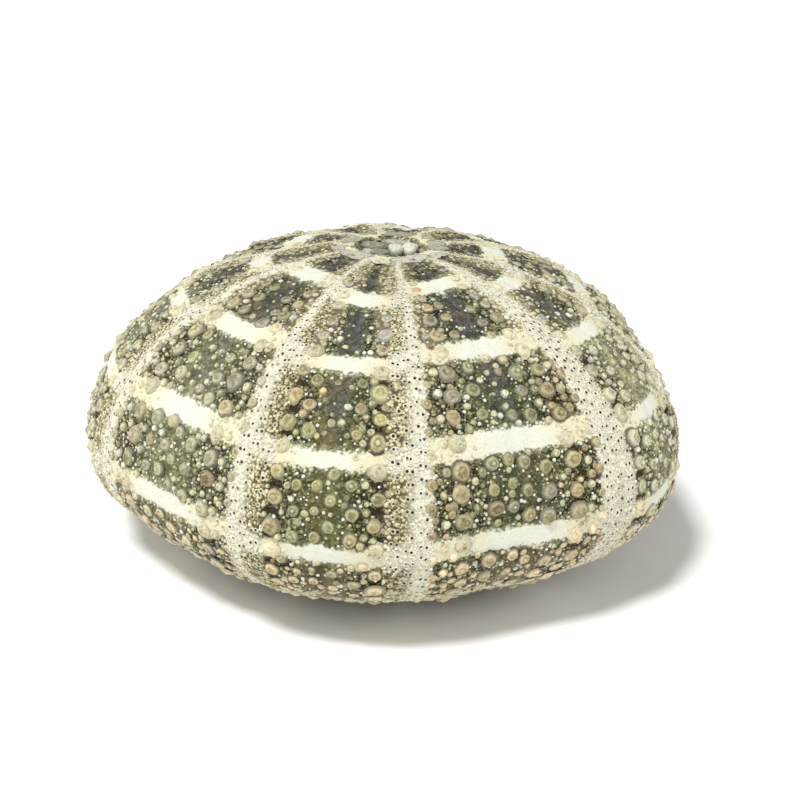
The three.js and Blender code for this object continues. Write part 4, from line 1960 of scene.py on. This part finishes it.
@dataclass
class ShellWall:
    """The wall itself: outside, resting ring, notched mouth lip and inside, as one closed surface."""

    relief: Relief
    around: int = 560
    outer_rows: int = 140
    under_rows: int = 12
    inner_rows: int = 16
    first_arc: float = 0.25
    inner_last_arc: float = 1.5
    wall: float = 2.4
    rest_inner: float = 22.0
    mouth_radius: float = 17.6
    lip_z: float = 1.4
    notch_depth: float = 3.0
    notch_half_angle: float = 4.2
    level_share: float = 0.4

    def path(self) -> tuple[Array, Array, Array, Array]:
        """The section that is swept round, from the outer pole to the inner one.

        Returns:
            Arc, shift along the normal, kind and share of each row. Kind 0 follows the outer surface,
            1 the underside between ring and lip, and 2 the inside.
        """
        length = self.relief.zones.form.meridian.length
        outer = np.linspace(self.first_arc, length, self.outer_rows)
        under = np.linspace(0, 1, self.under_rows + 1)[1:]
        inner = np.linspace(length, self.inner_last_arc, self.inner_rows)
        arc = np.concatenate([outer, np.full(len(under), length), inner])
        kind = np.repeat([0, 1, 2], [len(outer), len(under), len(inner)])
        share = np.concatenate([np.zeros(len(outer)), under, np.zeros(len(inner))])
        return arc, -self.wall * (kind == 2), kind, share

    def under_points(self, share: Array, azimuth: Array) -> Array:
        """Points from the ring's outer edge to the lip's upper edge.

        The first four tenths run level over the ring, the rest on a quarter circle up to the lip, whose
        radius grows in the ten notches.

        Args:
            share: Share of the way from the ring's outer edge.
            azimuth: Azimuths.

        Returns:
            The points, one row for each share.
        """
        zones = self.relief.zones
        form = zones.form
        off_notch = zones.fold(azimuth) - zones.pore_edge
        notch = self.notch_depth * np.exp(-(np.abs(off_notch / self.notch_half_angle) ** 3))
        level = np.clip(share / self.level_share, 0, 1)
        rise = np.clip((share - self.level_share) / (1 - self.level_share), 0, 1)
        turn = rise * math.pi / 2
        radius = form.meridian.rest_radius + (self.rest_inner - form.meridian.rest_radius) * level
        lip = self.mouth_radius + notch
        radius = radius + (lip - self.rest_inner) * np.sin(turn)
        z = (self.lip_z + self.wall) * (1 - np.cos(turn))
        return form.place(radius, z, azimuth)

    def build(self, material: bpy.types.Material) -> bpy.types.Object:
        """Sweeps the section round and closes both poles.

        Args:
            material: The finish.

        Returns:
            The wall, which stands for the solid.
        """
        zones = self.relief.zones
        arc, shift, kind, share = self.path()
        azimuth = np.arange(self.around) * 360 / self.around
        arc_grid, azimuth_grid = np.meshgrid(arc, azimuth, indexing="ij")
        point, _, _, normal = zones.form.frames(arc_grid, azimuth_grid)
        lift = np.where(kind[:, None] == 0, self.relief.height(arc_grid, azimuth_grid), shift[:, None])
        points = point + normal * lift[..., None]
        under = kind == 1
        points[under] = self.under_points(share[under][:, None], azimuth[None])
        points[..., 2] = np.maximum(points[..., 2], 0)
        rows = len(arc)
        grid = np.arange(rows * self.around).reshape(rows, self.around)
        after = np.roll(grid, -1, 1)
        quads = np.stack([grid[:-1], grid[1:], after[1:], after[:-1]], -1).reshape(-1, 4)
        outer_pole, inner_pole = rows * self.around, rows * self.around + 1
        poles = np.array([points[0].mean(0), points[-1].mean(0)])
        top = np.stack([np.full(self.around, outer_pole), grid[0], after[0]], -1)
        bottom = np.stack([grid[-1], np.full(self.around, inner_pole), after[-1]], -1)
        vertices = np.concatenate([points.reshape(-1, 3), poles])

        patch = PatchTones(zones).at(arc_grid, azimuth_grid).reshape(-1, 3)
        outside = kind[:, None] < 2
        grids = {
            "band_mm": np.where(outside, zones.band_depth(arc_grid, azimuth_grid), -9),
            "pore_mm": np.where(outside, zones.pore_depth(arc_grid, azimuth_grid), -9),
            "inward": zones.inward(arc_grid, azimuth_grid) * smooth(arc_grid, 13.0, 18.0),
            "flank": zones.flank(arc_grid, azimuth_grid),
            "crevice": zones.crevice(arc_grid, azimuth_grid) * outside,
            "pore_white": np.broadcast_to(zones.whiter_side(azimuth), arc_grid.shape),
            "inside": np.maximum(kind[:, None] == 2, smooth(share[:, None], 0.2, 0.6)) + 0 * arc_grid,
        }
        attributes = {name: np.append(grid, [grid[0, 0], grid[-1, 0]]) for name, grid in grids.items()}
        attributes["patch"] = np.concatenate([patch, patch[[0, -1]]])
        faces = [quads, np.concatenate([top, bottom])]
        wall = mesh_object("shell_wall", vertices, faces, attributes, material)
        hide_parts(NODE)
        return wall


class LampKind(Enum):
    """The two kinds of light."""

    SQUARE = "AREA"
    SUN = "SUN"


@dataclass(frozen=True)
class Lamp:
    """A soft light that points at the shell.

    Attributes:
        name: The light's name.
        place: Where it stands, in metres.
        size: Side of a square light in metres, or width of a sun in degrees.
        energy: Its strength.
        kind: The kind of light.
        target: Where it points, in metres.
    """

    name: str
    place: tuple[float, float, float]
    size: float
    energy: float
    kind: LampKind = LampKind.SQUARE
    target: tuple[float, float, float] = (0, 0, 0.03)

    def build(self) -> None:
        """Adds the light to the scene."""
        data = bpy.data.lights.new(self.name, self.kind.value)
        if self.kind is LampKind.SUN:
            data.angle = math.radians(self.size)
        else:
            data.size = self.size
        data.energy = self.energy
        lamp = bpy.data.objects.new(self.name, data)
        lamp.location = self.place
        heading = Vector(self.target) - Vector(self.place)
        lamp.rotation_euler = heading.to_track_quat("-Z", "Y").to_euler()
        bpy.context.scene.collection.objects.link(lamp)


@dataclass(frozen=True)
class Studio:
    """Pale floor, soft lights and the camera of the photo."""

    elevation: float = 21.361
    azimuth: float = 10.83
    roll: float = 1.322
    distance: float = 375.0
    aim_z: float = 29.2
    focal_pixels: float = 1728.8
    aim_pixel: tuple[float, float] = (387.08, 402.10)
    sensor: float = 36.0
    floor_half: float = 4.0
    floor_z: float = -0.0001
    floor_tones: tuple[Tone, Tone] = ((243, 243, 242), (247, 247, 246))
    lamps: tuple[Lamp, ...] = (
        Lamp("key_light", (-0.22, -0.42, 0.9), 12.0, 2.75, LampKind.SUN),
        Lamp("front_light", (0.1, -1.0, 0.3), 0.7, 0.8),
        Lamp("left_light", (-0.85, -0.1, 0.35), 0.6, 2.8),
        Lamp("right_light", (0.85, -0.1, 0.35), 0.6, 2.8),
    )
    sky: float = 0.34

    def camera(self, form: Form) -> bpy.types.Object:
        """Places the camera.

        The three camera axes come from the elevation and the small roll of the shell about the line
        of sight's level part, turned by the azimuth.

        Args:
            form: The shell's form, whose polar axis the camera is aimed by.

        Returns:
            The camera.
        """
        roll, rise = math.radians(self.roll), math.radians(self.elevation)
        right = Vector((math.cos(roll), 0, math.sin(roll)))
        up = Vector((-math.sin(roll) * math.cos(rise), math.sin(rise), math.cos(roll) * math.cos(rise)))
        away = Vector((math.sin(roll) * math.sin(rise), math.cos(rise), -math.cos(roll) * math.sin(rise)))
        turned = Matrix.Rotation(math.radians(self.azimuth), 3, "Z")
        axes = turned @ Matrix((right, up, -away)).transposed()
        data = bpy.data.cameras.new("photo_camera")
        data.sensor_width = self.sensor
        data.lens = self.focal_pixels * self.sensor / PHOTO_SIDE
        data.shift_x = (PHOTO_SIDE / 2 - self.aim_pixel[0]) / PHOTO_SIDE
        data.shift_y = (self.aim_pixel[1] - PHOTO_SIDE / 2) / PHOTO_SIDE
        data.clip_start = 0.01
        camera = bpy.data.objects.new("photo_camera", data)
        aim = Vector((0, form.axis_y * MM, self.aim_z * MM))
        place = aim + axes @ Vector((0, 0, self.distance * MM))
        camera.matrix_world = Matrix.Translation(place) @ axes.to_4x4()
        bpy.context.scene.collection.objects.link(camera)
        bpy.context.scene.camera = camera
        return camera

    def floor(self) -> bpy.types.Object:
        """A pale floor with a faint fine tone.

        Returns:
            The floor.
        """
        half = self.floor_half
        mesh = bpy.data.meshes.new("floor")
        corners = [(-half, -half, 0), (half, -half, 0), (half, half, 0), (-half, half, 0)]
        mesh.from_pydata(corners, [], [(0, 1, 2, 3)])
        graph = Graph("pale_floor")
        tone = graph.mix(graph.noise(40.0), *(linear(*tone) for tone in self.floor_tones))
        mesh.materials.append(graph.finish(tone, 0.9, graph.noise(2.0), 0.01, 0.1))
        floor = bpy.data.objects.new("floor", mesh)
        floor.location.z = self.floor_z
        bpy.context.scene.collection.objects.link(floor)
        return floor

    def build(self, form: Form) -> None:
        """Builds the whole studio.

        Args:
            form: The shell's form.
        """
        self.camera(form)
        self.floor()
        for lamp in self.lamps:
            lamp.build()
        world = bpy.data.worlds.new("studio")
        world.use_nodes = True
        background = world.node_tree.nodes["Background"]
        background.inputs["Color"].default_value = (1, 1, 1, 1)
        background.inputs["Strength"].default_value = self.sky
        bpy.context.scene.world = world
        bpy.context.scene.view_settings.view_transform = "Standard"


def main() -> None:
    """Builds the shell and the studio."""
    logging.basicConfig(level=logging.INFO, format="%(name)s %(message)s")
    form = Form()
    relief = Relief(Zones(form))
    Studio().build(form)
    pieces = [ShellWall(relief).build(WallFinish().material())]
    pieces += Tubercles(relief).build()
    pieces += PoreZones(relief).build()
    pieces += ApicalDisc(relief).build()
    for piece in pieces:
        report(piece)


if __name__ == "__main__":
    main()
